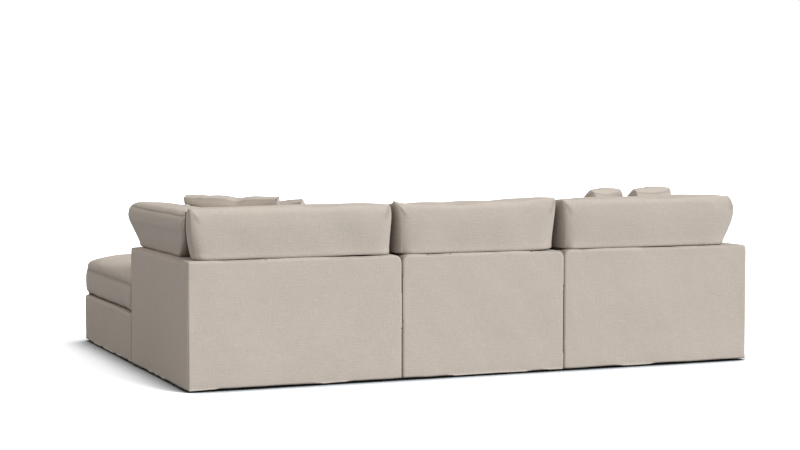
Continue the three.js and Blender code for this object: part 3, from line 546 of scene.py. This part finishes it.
def baseCover(section, start, skirts, seed):
    # deck and skirts: a box without a floor, and without the sides that stand against a wall
    deck, r = sofa["deckTop"], cover["baseEdge"]
    size = sofa["seatSize"] if section == "middle" else cornerSize
    xs = lines(0, size - start[0], cover["step"], baseSteps)
    ys = lines(0, cornerSize - start[1], cover["step"], baseSteps)
    zs = lines(sofa["hem"], deck, cover["step"], hemSteps, baseSteps)
    skip = ["z0"] + [side for side in ("x0", "x1", "y0", "y1") if side not in skirts]
    _, (s, w, z), quads, _, pattern = latticeBox(xs, ys, zs, skip)
    x0, x1, y0, y1 = (r if side in skirts else 0 for side in ("x0", "x1", "y0", "y1"))
    s, w, z = roundedSlab(s, w, z, xs[-1], (0, ys[-1]), deck, (x0, x1), (y0, y1))
    calm = ramp(xs[-1] - s, 0, cover["calm"]) * ramp(s, 0, cover["calm"])
    if section == "ottoman":
        calm = 1
        sd, wd = shellRound(np.minimum(s, xs[-1] - s), np.minimum(w, ys[-1] - w), cover["upright"])
        s, w = np.where(s < xs[-1] / 2, sd, xs[-1] - sd), np.where(w < ys[-1] / 2, wd, ys[-1] - wd)
    points = inSection(section, start[0] + s, start[1] + w, z)
    coverCloth(section + "_base_cover", points, quads, pattern, seed, deck - cover["belowDeck"], calm,
               np.zeros(len(s)))


outer, joint, edge = cover["outerCorner"], cover["jointCorner"], cover["edge"]
armCorner, armEdge = cover["armCorner"], cover["armEdge"]
wallCover("chaise_back_cover", cornerSize, (edge, joint, edge), True, "a", 11)
wallCover("chaise_side_cover", cornerSize, (edge, armCorner, armEdge), True, "t", 12)
wallCover("middle_back_cover", sofa["seatSize"], (joint, joint, edge), False, "a", 13)
wallCover("end_back_cover", cornerSize, (outer, joint, edge), True, "a", 14)
wallCover("end_arm_cover", cornerSize, (edge, outer, outer), True, "t", 15)
inner = sofa["wall"] - cover["tuckedIn"]
baseCover("chaise", (inner, inner), ("x1", "y1"), 21)
baseCover("middle", (0, inner), ("x0", "x1", "y1"), 22)
baseCover("end", (inner, inner), ("x1", "y1"), 23)
baseCover("ottoman", (0, 0), ("x0", "x1", "y0", "y1"), 24)
print("covers made")

stuffing = {
    "pressure": 3.0, "frames": 16, "grow": -0.018, "quality": 4, "mass": 0.25, "bend": 2.0, "tension": 12.0,
    "shear": 4.0, "levels": 6,
}


def plumped(piece, cap, seam):
    # cloth under air pressure: the panels are a little too large for their seams, so they swell and pucker,
    # and no point moves further than cap
    rest = pointsOf(piece.data)
    group = piece.vertex_groups.new(name="panel")
    weights, levels = np.clip(1 - seam, 0, 1), np.linspace(0, 1, stuffing["levels"])
    for level in levels:
        members = np.nonzero(np.abs(weights - level) <= levels[1] / 2)[0]
        group.add(members.tolist(), float(level), "REPLACE")
    modifier = piece.modifiers.new("stuffing", "CLOTH")
    cloth = modifier.settings
    cloth.quality, cloth.mass = stuffing["quality"], stuffing["mass"]
    cloth.tension_stiffness = cloth.compression_stiffness = stuffing["tension"]
    cloth.shear_stiffness, cloth.bending_stiffness = stuffing["shear"], stuffing["bend"]
    cloth.use_pressure, cloth.uniform_pressure_force = True, stuffing["pressure"]
    cloth.vertex_group_shrink = "panel"
    cloth.shrink_min, cloth.shrink_max = 0.0, stuffing["grow"]
    cloth.effector_weights.gravity = 0
    modifier.collision_settings.use_collision = False
    modifier.point_cache.frame_end = stuffing["frames"]
    for step in range(1, stuffing["frames"] + 1):
        bpy.context.scene.frame_set(step)
    shown = piece.evaluated_get(bpy.context.evaluated_depsgraph_get())
    moved = pointsOf(shown.data)
    piece.modifiers.remove(modifier)
    piece.vertex_groups.clear()
    bpy.context.scene.frame_set(1)
    shift = moved - rest
    length = np.linalg.norm(shift, axis=1)[:, None]
    return rest + shift * np.minimum(1, cap / np.maximum(length, 1e-9))


def depthsOf(at, rows):
    # the depth below the nearer face across each row; where two faces meet a seam runs, so the middle one of
    # the three depths is the distance from a seam
    return [np.minimum(p - row[0], row[-1] - p) for p, row in zip(at, rows)]


gather = {
    "ripple": (14, 0.022, 0.07), "slow": (8, 0.16, 0.5), "rippleShare": 0.55, "slowShare": 0.9,
    "groove": 0.004, "seam": 0.006,
}


def puckered(points, quads, distance, seed, depth, reach):
    # along the normals, depth (0.55 exp(-distance / reach) ripple + 0.9 slow - exp(-(distance / groove)^2)):
    # a sewn edge is drawn in along its line, and the cloth beside it gathers in short folds
    normal = normalsOf(points, quads)
    ripple = gather["rippleShare"] * np.exp(-distance / reach) * waves(seed, *gather["ripple"])(points)
    slow = gather["slowShare"] * waves(seed + 1, *gather["slow"])(points)
    groove = np.exp(-((distance / gather["groove"]) ** 2))
    return points + normal * (depth * (ripple + slow - groove))[:, None]


def sewn(name, points, quads, pattern, distance, cfg, settle, material):
    # a stuffed piece from its plain form: plumped and puckered, and then kept in its place before and after
    # it is subdivided
    quads, pattern = facing(sectionOf(name) == "end", quads, pattern)
    seam = np.exp(-((distance / gather["seam"]) ** 2))
    piece = meshOf(name + "_linen", points, quads, pattern, seam)
    points = plumped(piece, cfg["cap"], seam)
    points = puckered(points, quads, distance, cfg["seed"], cfg["pucker"], cfg["reach"])
    setPoints(piece.data, settle(points))
    subdivided(piece)
    setPoints(piece.data, settle(pointsOf(piece.data)))
    return finishPiece(piece, name, name, material)


def offWalls(sides, a, t, z):
    # keeps a cushion off the walls: a point in one leaves by the nearer of its top and its face
    top, face = sofa["wallTop"] + sofa["clear"], sofa["wall"] + sofa["clear"]
    for side in sides:
        w = t if side == "back" else a
        under, behind = top - z, face - w
        inside = (under > 0) & (behind > 0)
        up = inside & (under <= behind)
        z = np.where(up, top, z)
        w = np.where(inside & ~up, face, w)
        a, t = (a, w) if side == "back" else (w, t)
    return a, t, z


seatStyle = {
    "seed": 31, "gap": 0.002, "base": 0.2705, "seam": 0.415, "crown": 0.088, "power": 2.4, "steep": 0.42,
    "square": 8, "cornerRadius": 0.03, "drawIn": 0.009, "boxPuff": 0.01, "rim": 0.1, "tuck": 0.03,
    "tuckHeight": 0.026, "step": 0.027, "boxStep": 0.022, "edgeSteps": (0.0, 0.002, 0.006, 0.014, 0.028),
    "footSteps": (0.0, 0.006, 0.018), "seamSteps": (0.0, 0.005, 0.014), "restDepth": 0.452, "restBlend": 0.05,
    "restRise": 0.06, "pressed": 0.001, "spread": 0.004, "cap": 0.012, "pucker": 0.0022, "reach": 0.028,
    "fill": 0.8,
}


def boxedCushion(name, aRange, tRange, cfg, restSides):
    # u and v run from -1 to 1 across the cushion: the plan has round corners and sides drawn in by
    # drawIn (1 - v^2), the boxing swells between its seams, and the top is
    # seam + crown (1 - (|u|^(p k) + |v|^(p k))^(1 / k))^steep, which keeps the corners full
    section, base, seam, k = sectionOf(name), cfg["base"], cfg["seam"], cfg["square"]
    xs, ys = (lines(*span, cfg["step"], cfg["edgeSteps"]) for span in (aRange, tRange))
    zs = lines(base, seam, cfg["boxStep"], cfg["footSteps"], cfg["seamSteps"])
    index, (a, t, z), quads, _, pattern = latticeBox(xs, ys, zs)
    distance = np.sort(depthsOf((a, t, z), (xs, ys, zs)), 0)[1]
    (aMid, aHalf), (tMid, tHalf) = (((row[0] + row[-1]) / 2, (row[-1] - row[0]) / 2) for row in (xs, ys))
    u, v = (a - aMid) / aHalf, (t - tMid) / tHalf
    ad, td = shellRound(aHalf * (1 - abs(u)), tHalf * (1 - abs(v)), cfg["cornerRadius"])
    height = ramp(z, base, seam - base)
    puff = cfg["boxPuff"] * 4 * height * (1 - height)
    tuck = cfg["tuck"] * fade(z - base, cfg["tuckHeight"])
    pull = (1 - ramp(np.minimum(ad, td), 0, cfg["rim"])) * (tuck - puff)
    aDrawn, tDrawn = cfg["drawIn"] * (1 - v * v) * abs(u), cfg["drawIn"] * (1 - u * u) * abs(v)
    a = aMid + np.sign(u) * (aHalf - ad - aDrawn - pull * (ad <= td + 1e-6))
    t = tMid + np.sign(v) * (tHalf - td - tDrawn - pull * (td <= ad + 1e-6))
    edge = (abs(u) ** (cfg["power"] * k) + abs(v) ** (cfg["power"] * k)) ** (1 / k)
    dome = np.clip(1 - edge, 0, 1) ** cfg["steep"]
    rise = np.where(index[:, 2] == len(zs) - 1, cfg["crown"] * dome, 0)
    z = z + rise
    distance = np.hypot(distance, rise)

    def settle(points):
        # the seat gives way under the cushions that rest on it, and stays between its walls and its neighbour
        a, t, z = toSection(section, points)
        z = np.maximum(z, base)
        for w in [depth for depth, side in ((t, "back"), (a, "side")) if side in restSides]:
            rise = cfg["restRise"] * ramp(w, cfg["restDepth"], cfg["restBlend"]) ** 1.5
            limit = sofa["restZ"] - cfg["pressed"] + rise
            z = np.where((w < cfg["restDepth"] + cfg["restBlend"]) & (z > limit), limit, z)
        face = sofa["wall"] + sofa["clear"]
        if "back" in restSides:
            t = np.maximum(t, face)
        if section in ("chaise", "end"):
            a = np.maximum(a, face)
        return inSection(section, np.minimum(a, aRange[1] + cfg["spread"]), t, z)

    sewn(name, inSection(section, a, t, z), quads, pattern, distance, cfg, settle, cushionLinen)


gap = seatStyle["gap"]
between = (sofa["wall"] + gap, cornerSize - gap)
whole = (gap, cornerSize - gap)
ottomanStyle = {
    **seatStyle, "seed": 37, "crown": 0.108, "steep": 0.27, "cornerRadius": 0.034, "boxPuff": 0.004,
    "square": 18, "drawIn": 0.003,
}
boxedCushion("chaise_seat_cushion", between, between, seatStyle, ("back", "side"))
middle = (gap, sofa["seatSize"] - gap)
boxedCushion("middle_seat_cushion", middle, between, {**seatStyle, "seed": 33}, ("back",))
boxedCushion("end_seat_cushion", between, between, {**seatStyle, "seed": 35}, ("back",))
boxedCushion("ottoman_cushion", whole, whole, ottomanStyle, ())
print("seat cushions made")

standing = {
    "seed": 41, "step": 0.026, "thick": 0.34, "thickStep": 0.025, "tall": 0.42, "tallStep": 0.023,
    "endSteps": (0.0, 0.005, 0.011, 0.018, 0.026, 0.035, 0.045, 0.057, 0.072),
    "faceSteps": (0.0, 0.005, 0.013, 0.024, 0.038),
    "crownSteps": (0.0, 0.006, 0.013, 0.021, 0.03, 0.04, 0.052),
    # closer lines, in shares of the height, where the rear turns from the wall top up the outer face
    "bend": (0.395, 0.415, 0.43, 0.442, 0.454, 0.468, 0.485, 0.51, 0.54), "bendGap": 0.008,
    "endRound": 0.05, "frontRound": 0.1, "topRound": 0.014, "roundShare": 0.06, "endDome": 0.012,
    "rearFoot": 0.024, "bulge": 0.008, "rearTop": 0.024, "topDip": 0.006, "topFront": 0.25, "topDrop": 0.009,
    "midFront": 0.345, "lowFront": 0.405, "foot": 0.424, "roll": 0.026, "lift": 0.001, "offWall": 0.002,
    "flareShare": 0.62, "mitre": 0.0, "mitreStart": 0.07, "seamed": False, "drawIn": 0.005, "drawShare": 0.16,
    "endDrop": 0.016, "endFall": 0.13, "nearDrop": 0.0, "nearFall": 0.32, "tilt": 0.0, "sag": 0.0,
    "ear": 0.012, "earRise": 0.008, "farEarRise": 0.008, "earReach": 0.03, "earShare": 0.09,
    "fallFrom": (0.12, 0.35), "nearFrom": (0.06, 0.3), "drawRise": 0.02,
    # the slope of a tuck's line and its length, and how fast the distance grows across and beyond it
    "tuck": (0.75, 0.05, 0.8, 0.5),
    "soften": 10, "softReach": (0.16, 0.06), "softRise": (0.015, 0.05), "softSeam": 0.012,
    "spread": 0.008, "cap": 0.014, "pucker": 0.0018, "reach": 0.03, "fill": 0.75,
}
# ends in metres at the foot, the widest level and the top; rises above the wall top
standingPlaces = {
    "chaise": {"foot": (0.05, 1.044), "wide": (0.018, 1.052), "top": (0.026, 1.028),
               "wideRise": 0.2, "seam": 0.23, "crest": 0.248},
    "middle": {"foot": (-0.008, 0.858), "wide": (-0.024, 0.866), "top": (-0.044, 0.828),
               "wideRise": 0.218, "seam": 0.228, "crest": 0.259},
    "end": {"foot": (0.118, 1.076), "wide": (0.024, 1.095), "top": (0.142, 1.09),
            "wideRise": 0.192, "seam": 0.224, "crest": 0.265},
    "side": {"foot": (0.285, 1.062), "wide": (0.092, 1.178), "top": (0.094, 1.14),
             "wideRise": 0.17, "seam": 0.208, "crest": 0.233},
}


def alongKeys(share, keys):
    # a smooth line through key points (share, values): cubic between them, its slope at each key taken from
    # the keys on either side
    keys = np.array(keys, float)
    at, values = keys[:, 0], keys[:, 1:]
    slope = np.gradient(values, at, axis=0)
    k = np.clip(np.searchsorted(at, share, side="right") - 1, 0, len(at) - 2)
    span = (at[k + 1] - at[k])[:, None]
    f = ((share - at[k]) / (at[k + 1] - at[k]))[:, None]
    return ((2 * f ** 3 - 3 * f ** 2 + 1) * values[k] + (f ** 3 - 2 * f ** 2 + f) * span * slope[k]
            + (3 * f ** 2 - 2 * f ** 3) * values[k + 1] + (f ** 3 - f ** 2) * span * slope[k + 1])


def crossSection(place, cfg):
    # four lines of key points (share, t, z): up the rear from the seat over the wall top, up the leaning
    # front, along the foot and over the crown
    top, rest, wall = sofa["wallTop"], sofa["restZ"] + cfg["lift"], sofa["wall"] + cfg["offWall"]
    seamZ, crest = top + place["seam"], top + place["crest"]
    foot, roll, bulge, rearFoot = cfg["foot"], cfg["roll"], cfg["bulge"], cfg["rearFoot"]
    lean = rearFoot - bulge
    # a seamed cushion turns at its seam, and the others roll over just under the crown
    rearTop = (cfg["rearTop"], seamZ if cfg["seamed"] else crest - cfg["topDip"])
    frontTop = (cfg["topFront"], seamZ - cfg["topDrop"])
    third = (frontTop[0] - rearTop[0]) / 3
    rear = [(0, wall, rest), (0.27, wall, top - 0.01), (0.3, wall - 0.01, top),
            (0.42, rearFoot + 0.012, top), (0.44, rearFoot + 0.003, top + 0.001),
            (0.46, rearFoot - 0.001, top + 0.008),
            (0.53, bulge + lean * 0.8, top + 0.034), (0.68, bulge + lean * 0.28, top + 0.11),
            (0.88, bulge, rearTop[1] - 0.05), (0.96, bulge + 0.005, rearTop[1] - 0.015), (1, *rearTop)]
    front = [(0, foot - roll, rest), (0.05, foot - 0.006, rest + 0.012), (0.12, foot, rest + roll),
             (0.27, foot - 0.006, top - 0.05), (0.42, cfg["lowFront"], top),
             (0.7, cfg["midFront"] + 0.006, (seamZ + top) / 2),
             (0.9, cfg["topFront"] + 0.03, seamZ - 0.045), (1, *frontTop)]
    bottom = [(0, wall, rest), (1, foot - roll, rest)]
    crown = [(0, *rearTop), (0.1, rearTop[0] + 0.016, (rearTop[1] + 2 * crest) / 3),
             (0.36, rearTop[0] + third, crest), (0.64, frontTop[0] - third, crest - 0.002),
             (0.84, frontTop[0] - third * 0.45, crest - 0.009), (1, *frontTop)]
    return rear, front, bottom, crown


def patch(place, cfg, y, h):
    # the cross-section at shares y of the thickness and h of the height: a patch between four lines, rear(h)
    # and front(h) at the sides and bottom(y) and crown(y) below and above, which is (1 - y) rear + y front +
    # (1 - h) bottom + h crown, less the four corners in the same shares
    keys = crossSection(place, cfg)
    rear, front, bottom, crown = (alongKeys(share, line) for share, line in zip((h, h, y, y), keys))
    r0, r1, f0, f1 = (np.array(k[1:]) for k in (keys[0][0], keys[0][-1], keys[1][0], keys[1][-1]))
    y, h = y[:, None], h[:, None]
    outline = ((1 - y) * rear + y * front + (1 - h) * bottom + h * crown
               - (1 - y) * (1 - h) * r0 - (1 - y) * h * r1 - y * (1 - h) * f0 - y * h * f1)
    return outline[:, 0], outline[:, 1]


def endAt(place, cfg, rise, k):
    # an end, by the rise above the wall top: through its places at the foot, the widest level and the top
    foot, wide, last = (place[level][k] for level in ("foot", "wide", "top"))
    keys = [(-0.2, foot), (0, foot), (place["wideRise"] * 0.55, foot + (wide - foot) * cfg["flareShare"]),
            (place["wideRise"], wide), (place["crest"] + 0.012, last)]
    return alongKeys(rise, keys)[:, 0]


def standingCushion(name, place, cfg, along, sides, behind=None):
    # the cross-section is carried along s from one end to the other: the box is rounded first, its ends are
    # domed, its crown falls off towards them, and loose cloth near them is relaxed
    section, top, rest = sectionOf(name), sofa["wallTop"], sofa["restZ"] + cfg["lift"]
    length = place["wide"][1] - place["wide"][0]
    xs = lines(0, length, cfg["step"], cfg["endSteps"])
    ys = lines(0, cfg["thick"], cfg["thickStep"], cfg["faceSteps"])
    hs = lines(0, cfg["tall"], cfg["tallStep"], cfg["faceSteps"], cfg["crownSteps"])
    bend = cfg["tall"] * np.array(cfg["bend"])
    plain = (hs < bend[0] - cfg["bendGap"]) | (hs > bend[-1] + cfg["bendGap"])
    hs = np.sort(np.concatenate([hs[plain], bend]))
    rows = (xs, ys, hs)
    index, lattice, quads, _, pattern = latticeBox(*rows)
    depth = depthsOf(lattice, rows)
    # short tucks run into the upper corners, and a seamed cushion has a line along its upper rear edge
    upper = hs[-1] - lattice[2]
    slope, run, across, beyond = cfg["tuck"]
    tuck = across * np.abs(depth[0] - slope * upper) + beyond * np.maximum(upper - run, 0)
    distance = np.where(depth[1] < 1e-9, tuck, 1.0)
    if cfg["seamed"]:
        distance = np.minimum(distance, np.hypot(lattice[1], upper))
    # the rounding is narrow along the crown and grows from the rear to the front at the ends
    rim = np.minimum(depth[1], depth[2])
    level = np.clip(1 + (depth[1] - depth[2]) / cfg["roundShare"], 0, 1)
    front = np.clip(2 * lattice[1] / ys[-1] - 0.5, 0, 1)
    radius = cfg["endRound"] + front * (cfg["frontRound"] - cfg["endRound"])
    inward, rim = shellRound(depth[0], rim, radius + level * (cfg["topRound"] - radius))
    depth = [inward, np.maximum(depth[1], rim), np.maximum(depth[2], rim)]
    x, y, h = (np.where(p < row[-1] / 2, d, row[-1] - d) / row[-1] for p, d, row in zip(lattice, depth, rows))
    w, z = patch(place, cfg, y, h)
    rise = np.maximum(z - top, 0)
    near, far = endAt(place, cfg, rise, 0), endAt(place, cfg, rise, 1)
    near = near + cfg["mitre"] * np.maximum(w - cfg["mitreStart"], 0)
    if behind:
        # this end meets the mitred end of the cushion behind it, and then runs along that one's front
        other, style = standingPlaces[behind], behindStyle
        line = np.array(crossSection(other, style)[1])
        reach = np.interp(z, line[:, 2], line[:, 1]) + cfg["nest"]
        edge = np.interp(rise, (0, other["wideRise"]), (other["foot"][0], other["wide"][0])) - cfg["nest"]
        slope = np.maximum(w - edge, 0) / style["mitre"]
        near = np.maximum(near, np.minimum(reach, style["mitreStart"] + slope))
    dome = cfg["endDome"] * 16 * y * (1 - y) * h * (1 - h)
    s = near + x * (far - near) + ((index[:, 0] == len(xs) - 1) * 1.0 - (index[:, 0] == 0)) * dome
    # the crown falls off towards the ends, along its front more than at the rear, and it may sag and tilt
    ends = np.minimum(x, 1 - x)
    fall = fade(ends * length, cfg["endFall"]) * h ** 6 * ramp(y, *cfg["fallFrom"])
    nearFall = fade(x * length, cfg["nearFall"]) * h ** 5 * ramp(y, *cfg["nearFrom"])
    z = z - cfg["endDrop"] * fall - cfg["nearDrop"] * nearFall
    z = z + (cfg["tilt"] * x - cfg["sag"] * 4 * x * (1 - x)) * h ** 2
    # the sewn upper corners stand out a little as ears
    ear = np.exp(-ends * length / cfg["earReach"]) * np.exp(-(1 - h) / cfg["earShare"])
    ear = ear * np.abs(1 - 2 * y) ** 3
    s = s + np.sign(x - 0.5) * cfg["ear"] * ear
    z = z + (cfg["earRise"] * (1 - x) + cfg["farEarRise"] * x) * ear
    w = w + cfg["drawIn"] * fade(ends, cfg["drawShare"]) * np.where(z > top + cfg["drawRise"], 1 - 2 * y, 0)
    low, high = (pick(place[key][k] for key in ("foot", "wide", "top")) for k, pick in ((0, min), (1, max)))

    def settle(points):
        a, t, z = toSection(section, points)
        s = np.clip(t if along == "t" else a, low - cfg["spread"], high + cfg["spread"])
        a, t = (a, s) if along == "t" else (s, t)
        return inSection(section, *offWalls(sides, a, t, np.maximum(z, rest)))

    quads, pattern = facing(along == "t", quads, pattern)
    points = inSection(section, *((w, s) if along == "t" else (s, w)), z)
    loose = ramp(cfg["softReach"][0] - np.minimum(lattice[0], xs[-1] - lattice[0]), 0, cfg["softReach"][1])
    loose = loose * ramp(z - top, *cfg["softRise"]) * (1 - np.exp(-((distance / cfg["softSeam"]) ** 2)))
    points = relaxed(points, quads, 0.5 * loose, cfg["soften"])
    sewn(name, points, quads, pattern, distance, cfg, settle, cushionLinen)


def pressed(piece, neighbours):
    # a soft piece gives way where it would go into a neighbour that was made before it
    for other in neighbours:
        press = piece.modifiers.new("press", "SHRINKWRAP")
        press.target = bpy.data.objects[other + "_linen"]
        press.wrap_method, press.wrap_mode = "NEAREST_SURFACEPOINT", "OUTSIDE"
        press.offset = pillow["pressGap"]
    applied(piece)


behindStyle = {**standing, "mitre": 0.3, "flareShare": 0.85, "ear": 0.006, "endDrop": 0.002, "tilt": 0.006}
middleStyle = {
    **standing, "seed": 43, "tilt": 0.016, "sag": 0.016, "endDrop": 0.006, "nearDrop": 0.006,
    "earRise": 0.022, "farEarRise": 0.0, "endRound": 0.085, "mitre": 0.07, "mitreStart": 0.05, "soften": 30,
}
endStyle = {**standing, "seed": 45, "tilt": -0.008, "endDrop": 0.002, "endRound": 0.07, "soften": 30}
sideStyle = {
    **standing, "seed": 47, "seamed": True, "rearFoot": 0.044, "bulge": 0.006, "endRound": 0.022,
    "topRound": 0.024, "ear": 0.008, "nest": 0.008, "soften": 3, "endDrop": 0.008,
}
bothWalls = ("back", "side")
standingCushion("chaise_back_cushion", standingPlaces["chaise"], behindStyle, "a", bothWalls)
standingCushion("middle_back_cushion", standingPlaces["middle"], middleStyle, "a", ("back",))
standingCushion("end_back_cushion", standingPlaces["end"], endStyle, "a", bothWalls)
standingCushion("chaise_side_cushion", standingPlaces["side"], sideStyle, "t", bothWalls, "chaise")
print("back cushions made")

pillow = {
    "width": 0.495, "height": 0.47, "boxing": 0.048, "crown": 0.049, "power": 2.6, "puff": 0.62,
    "drawIn": 0.006, "step": 0.02, "edgeSteps": (0.0, 0.004, 0.012, 0.024), "boxLines": 5, "pinch": -0.002,
    "thin": 0.2, "dentAt": -0.12, "dentWidth": 0.16, "cap": 0.012, "pucker": 0.0018, "reach": 0.022,
    "fill": 0.7, "pressGap": 0.002,
}
thickPillow = {**pillow, "boxing": 0.094, "crown": 0.036, "width": 0.54, "thin": 0.92}
restZ = sofa["restZ"]
# a and t of the lower edge's middle, its height, turn, roll and lean in degrees, and a dent on top
pillowPlaces = {
    "chaise_corner_pillow": (0.47, 0.601, restZ + 0.005, 41, 0, 20, 0.016),
    "chaise_front_pillow": (0.746, 0.69, restZ + 0.017, 41, 8, 35, 0),
    "end_corner_pillow": (0.396, 0.62, restZ + 0.005, 40, 0, 20, 0),
    "end_front_pillow": (0.698, 0.6, restZ + 0.003, 46, 0, 20, 0),
}


def turned(degrees, axis):
    return np.array(Matrix.Rotation(np.radians(degrees), 3, axis))


def throwPillow(name, cfg, neighbours):
    # two panels either side of a boxing: half the thickness is boxing / 2 + crown ((1 - |u|^p)(1 - |v|^p))^q,
    # and the corners are pinched thin; it is then leaned, rolled, turned and set down
    section = sectionOf(name)
    a0, t0, z0, turn, roll, lean, dent = pillowPlaces[name]
    xs = lines(-cfg["width"] / 2, cfg["width"] / 2, cfg["step"], cfg["edgeSteps"])
    zs = lines(0, cfg["height"], cfg["step"], cfg["edgeSteps"])
    ys = np.linspace(-cfg["boxing"] / 2, cfg["boxing"] / 2, cfg["boxLines"])
    _, (x, y, z), quads, _, pattern = latticeBox(xs, ys, zs)
    distance = np.sort(depthsOf((x, y, z), (xs, ys, zs)), 0)[1]
    u, v = 2 * x / cfg["width"], 2 * z / cfg["height"] - 1
    face = np.sign(y) * (np.abs(y) > cfg["boxing"] / 2 - 1e-6)
    puff = np.clip((1 - abs(u) ** cfg["power"]) * (1 - abs(v) ** cfg["power"]), 0, 1) ** cfg["puff"]
    ear = (abs(u) * abs(v)) ** 4
    y = y * (1 - cfg["thin"] * ear) + face * cfg["crown"] * puff
    x = x - cfg["drawIn"] * (1 - v * v) * u + cfg["pinch"] * np.sign(u) * ear
    z = z - cfg["drawIn"] * (1 - u * u) * v + cfg["pinch"] * np.sign(v) * ear
    z = z - dent * np.exp(-(((u - cfg["dentAt"]) / cfg["dentWidth"]) ** 2)) * np.clip(v, 0, 1) ** 6
    points = np.stack([x, y, z], -1) @ (turned(-turn, "Z") @ turned(-lean, "X") @ turned(roll, "Y")).T
    points = inSection(section, a0 - points[:, 0], t0 - points[:, 1], z0 + points[:, 2])

    def settle(points):
        return inSection(section, *offWalls(bothWalls, *toSection(section, points)))

    piece = sewn(name, points, quads, pattern, distance, cfg, settle, pillowLinen)
    pressed(piece, neighbours)


throwPillow("chaise_corner_pillow", {**pillow, "seed": 61, "width": 0.512},
            ("chaise_seat_cushion", "chaise_back_cushion", "chaise_side_cushion"))
throwPillow("chaise_front_pillow", {**pillow, "seed": 63},
            ("chaise_seat_cushion", "chaise_back_cushion", "chaise_corner_pillow"))
throwPillow("end_corner_pillow", {**thickPillow, "seed": 65}, ("end_seat_cushion", "end_back_cushion"))
throwPillow("end_front_pillow", {**thickPillow, "seed": 67},
            ("end_seat_cushion", "end_back_cushion", "end_corner_pillow"))
print("pillows made")

studio = {
    "eye": (3.8305, 9.3075, 1.304), "yaw": 22.31, "pitch": 3.45, "focal": 1814.0, "sensor": 36.0,
    "pixels": 800, "farthest": 100,
    "sky": 0.62, "sun": 2.3, "sunSize": 34.0, "sunHeight": 30.0, "sunTurn": 35.0,
    # the painted contact shadow on the floor: its darkest level, its reach and where it ends, on this line
    # and the next
    "floorSize": 120, "floorBounce": 0.35, "floorSeen": 2.1, "paintedShadowDarkest": 0.15, "paintedShadowReach": 0.24,
    "paintedShadowOpenAt": (0.35, 0.98), "floorTint": (0.962, 1.018, 1.075),
    "skyColour": (1, 0.962, 0.925, 1), "sunColour": (1, 1.038, 1.075),
}

# the sun stands sunTurn degrees from the back (+Y) towards the end section (-X), sunHeight degrees up
height, turn = np.radians(studio["sunHeight"]), np.radians(studio["sunTurn"])
towards = Vector((-np.sin(turn) * np.cos(height), np.cos(turn) * np.cos(height), np.sin(height)))
sunData = bpy.data.lights.new("keyLight", "SUN")
sunData.energy, sunData.angle = studio["sun"], np.radians(studio["sunSize"])
sunData.color = studio["sunColour"]
sun = bpy.data.objects.new("keyLight", sunData)
sun.rotation_euler = towards.to_track_quat("Z", "Y").to_euler()
bpy.context.scene.collection.objects.link(sun)

# the camera sees a white surround, and everything else is lit by a dimmer one
world = bpy.data.worlds.new("studio")
bpy.context.scene.world = world
world.use_nodes = True
sky = Shade(world.node_tree, None)
seen = sky.node("LightPath")
straight = seen.math("MAXIMUM", seen.other("Is Glossy Ray"))
strength = straight * (1 - studio["sky"]) + studio["sky"]
tint = mixColours(sky, straight, studio["skyColour"], (1, 1, 1, 1))
background = world.node_tree.nodes["Background"]
for key, shade in (("Strength", strength), ("Color", tint)):
    world.node_tree.links.new(shade.socket, background.inputs[key])

# white paper that keeps its shadows: brighter to the camera than to the sofa, and darkened near the sofa by
# ambient occlusion as a painted contact shadow
ground = np.array([(-1, -1, 0), (1, -1, 0), (1, 1, 0), (-1, 1, 0)]) * studio["floorSize"] / 2
floor = meshOf("floor", ground, np.array([[0, 1, 2, 3]]))
paper = bpy.data.materials.new("floorPaper")
paper.use_nodes = True
paper.node_tree.nodes.clear()
maker = Shade(paper.node_tree, None)
# painted shadow: the level the camera sees falls where ambient occlusion finds the sofa close by
free = maker.node("AmbientOcclusion", {"samples": 12}, {"Distance": studio["paintedShadowReach"]}, "AO")
lit = free.between(*studio["paintedShadowOpenAt"])
lit = lit * (studio["floorSeen"] - studio["paintedShadowDarkest"]) + studio["paintedShadowDarkest"]
shown = maker.node("LightPath") * (lit - studio["floorBounce"]) + studio["floorBounce"]
level = maker.node("CombineColor", None, {k: shown * share for k, share in enumerate(studio["floorTint"])})
skin = maker.node("BsdfDiffuse", None, {"Color": level})
output = paper.node_tree.nodes.new("ShaderNodeOutputMaterial")
paper.node_tree.links.new(skin.socket, output.inputs["Surface"])
floor.data.materials.append(paper)

# the photograph's viewing angle
yaw, pitch = np.radians(studio["yaw"]), np.radians(studio["pitch"])
forward = Vector((-np.sin(yaw) * np.cos(pitch), -np.cos(yaw) * np.cos(pitch), -np.sin(pitch)))
right = Vector((-np.cos(yaw), np.sin(yaw), 0))
up = right.cross(forward)
camera = bpy.data.objects.new("camera", bpy.data.cameras.new("camera"))
camera.data.sensor_width = studio["sensor"]
camera.data.lens = studio["focal"] * studio["sensor"] / studio["pixels"]
camera.data.clip_end = studio["farthest"]
looking = Matrix((right, up, -forward)).transposed().to_4x4()
camera.matrix_world = Matrix.Translation(studio["eye"]) @ looking
bpy.context.scene.collection.objects.link(camera)
bpy.context.scene.camera = camera
bpy.context.scene.view_settings.view_transform = "Standard"
print("stage made")
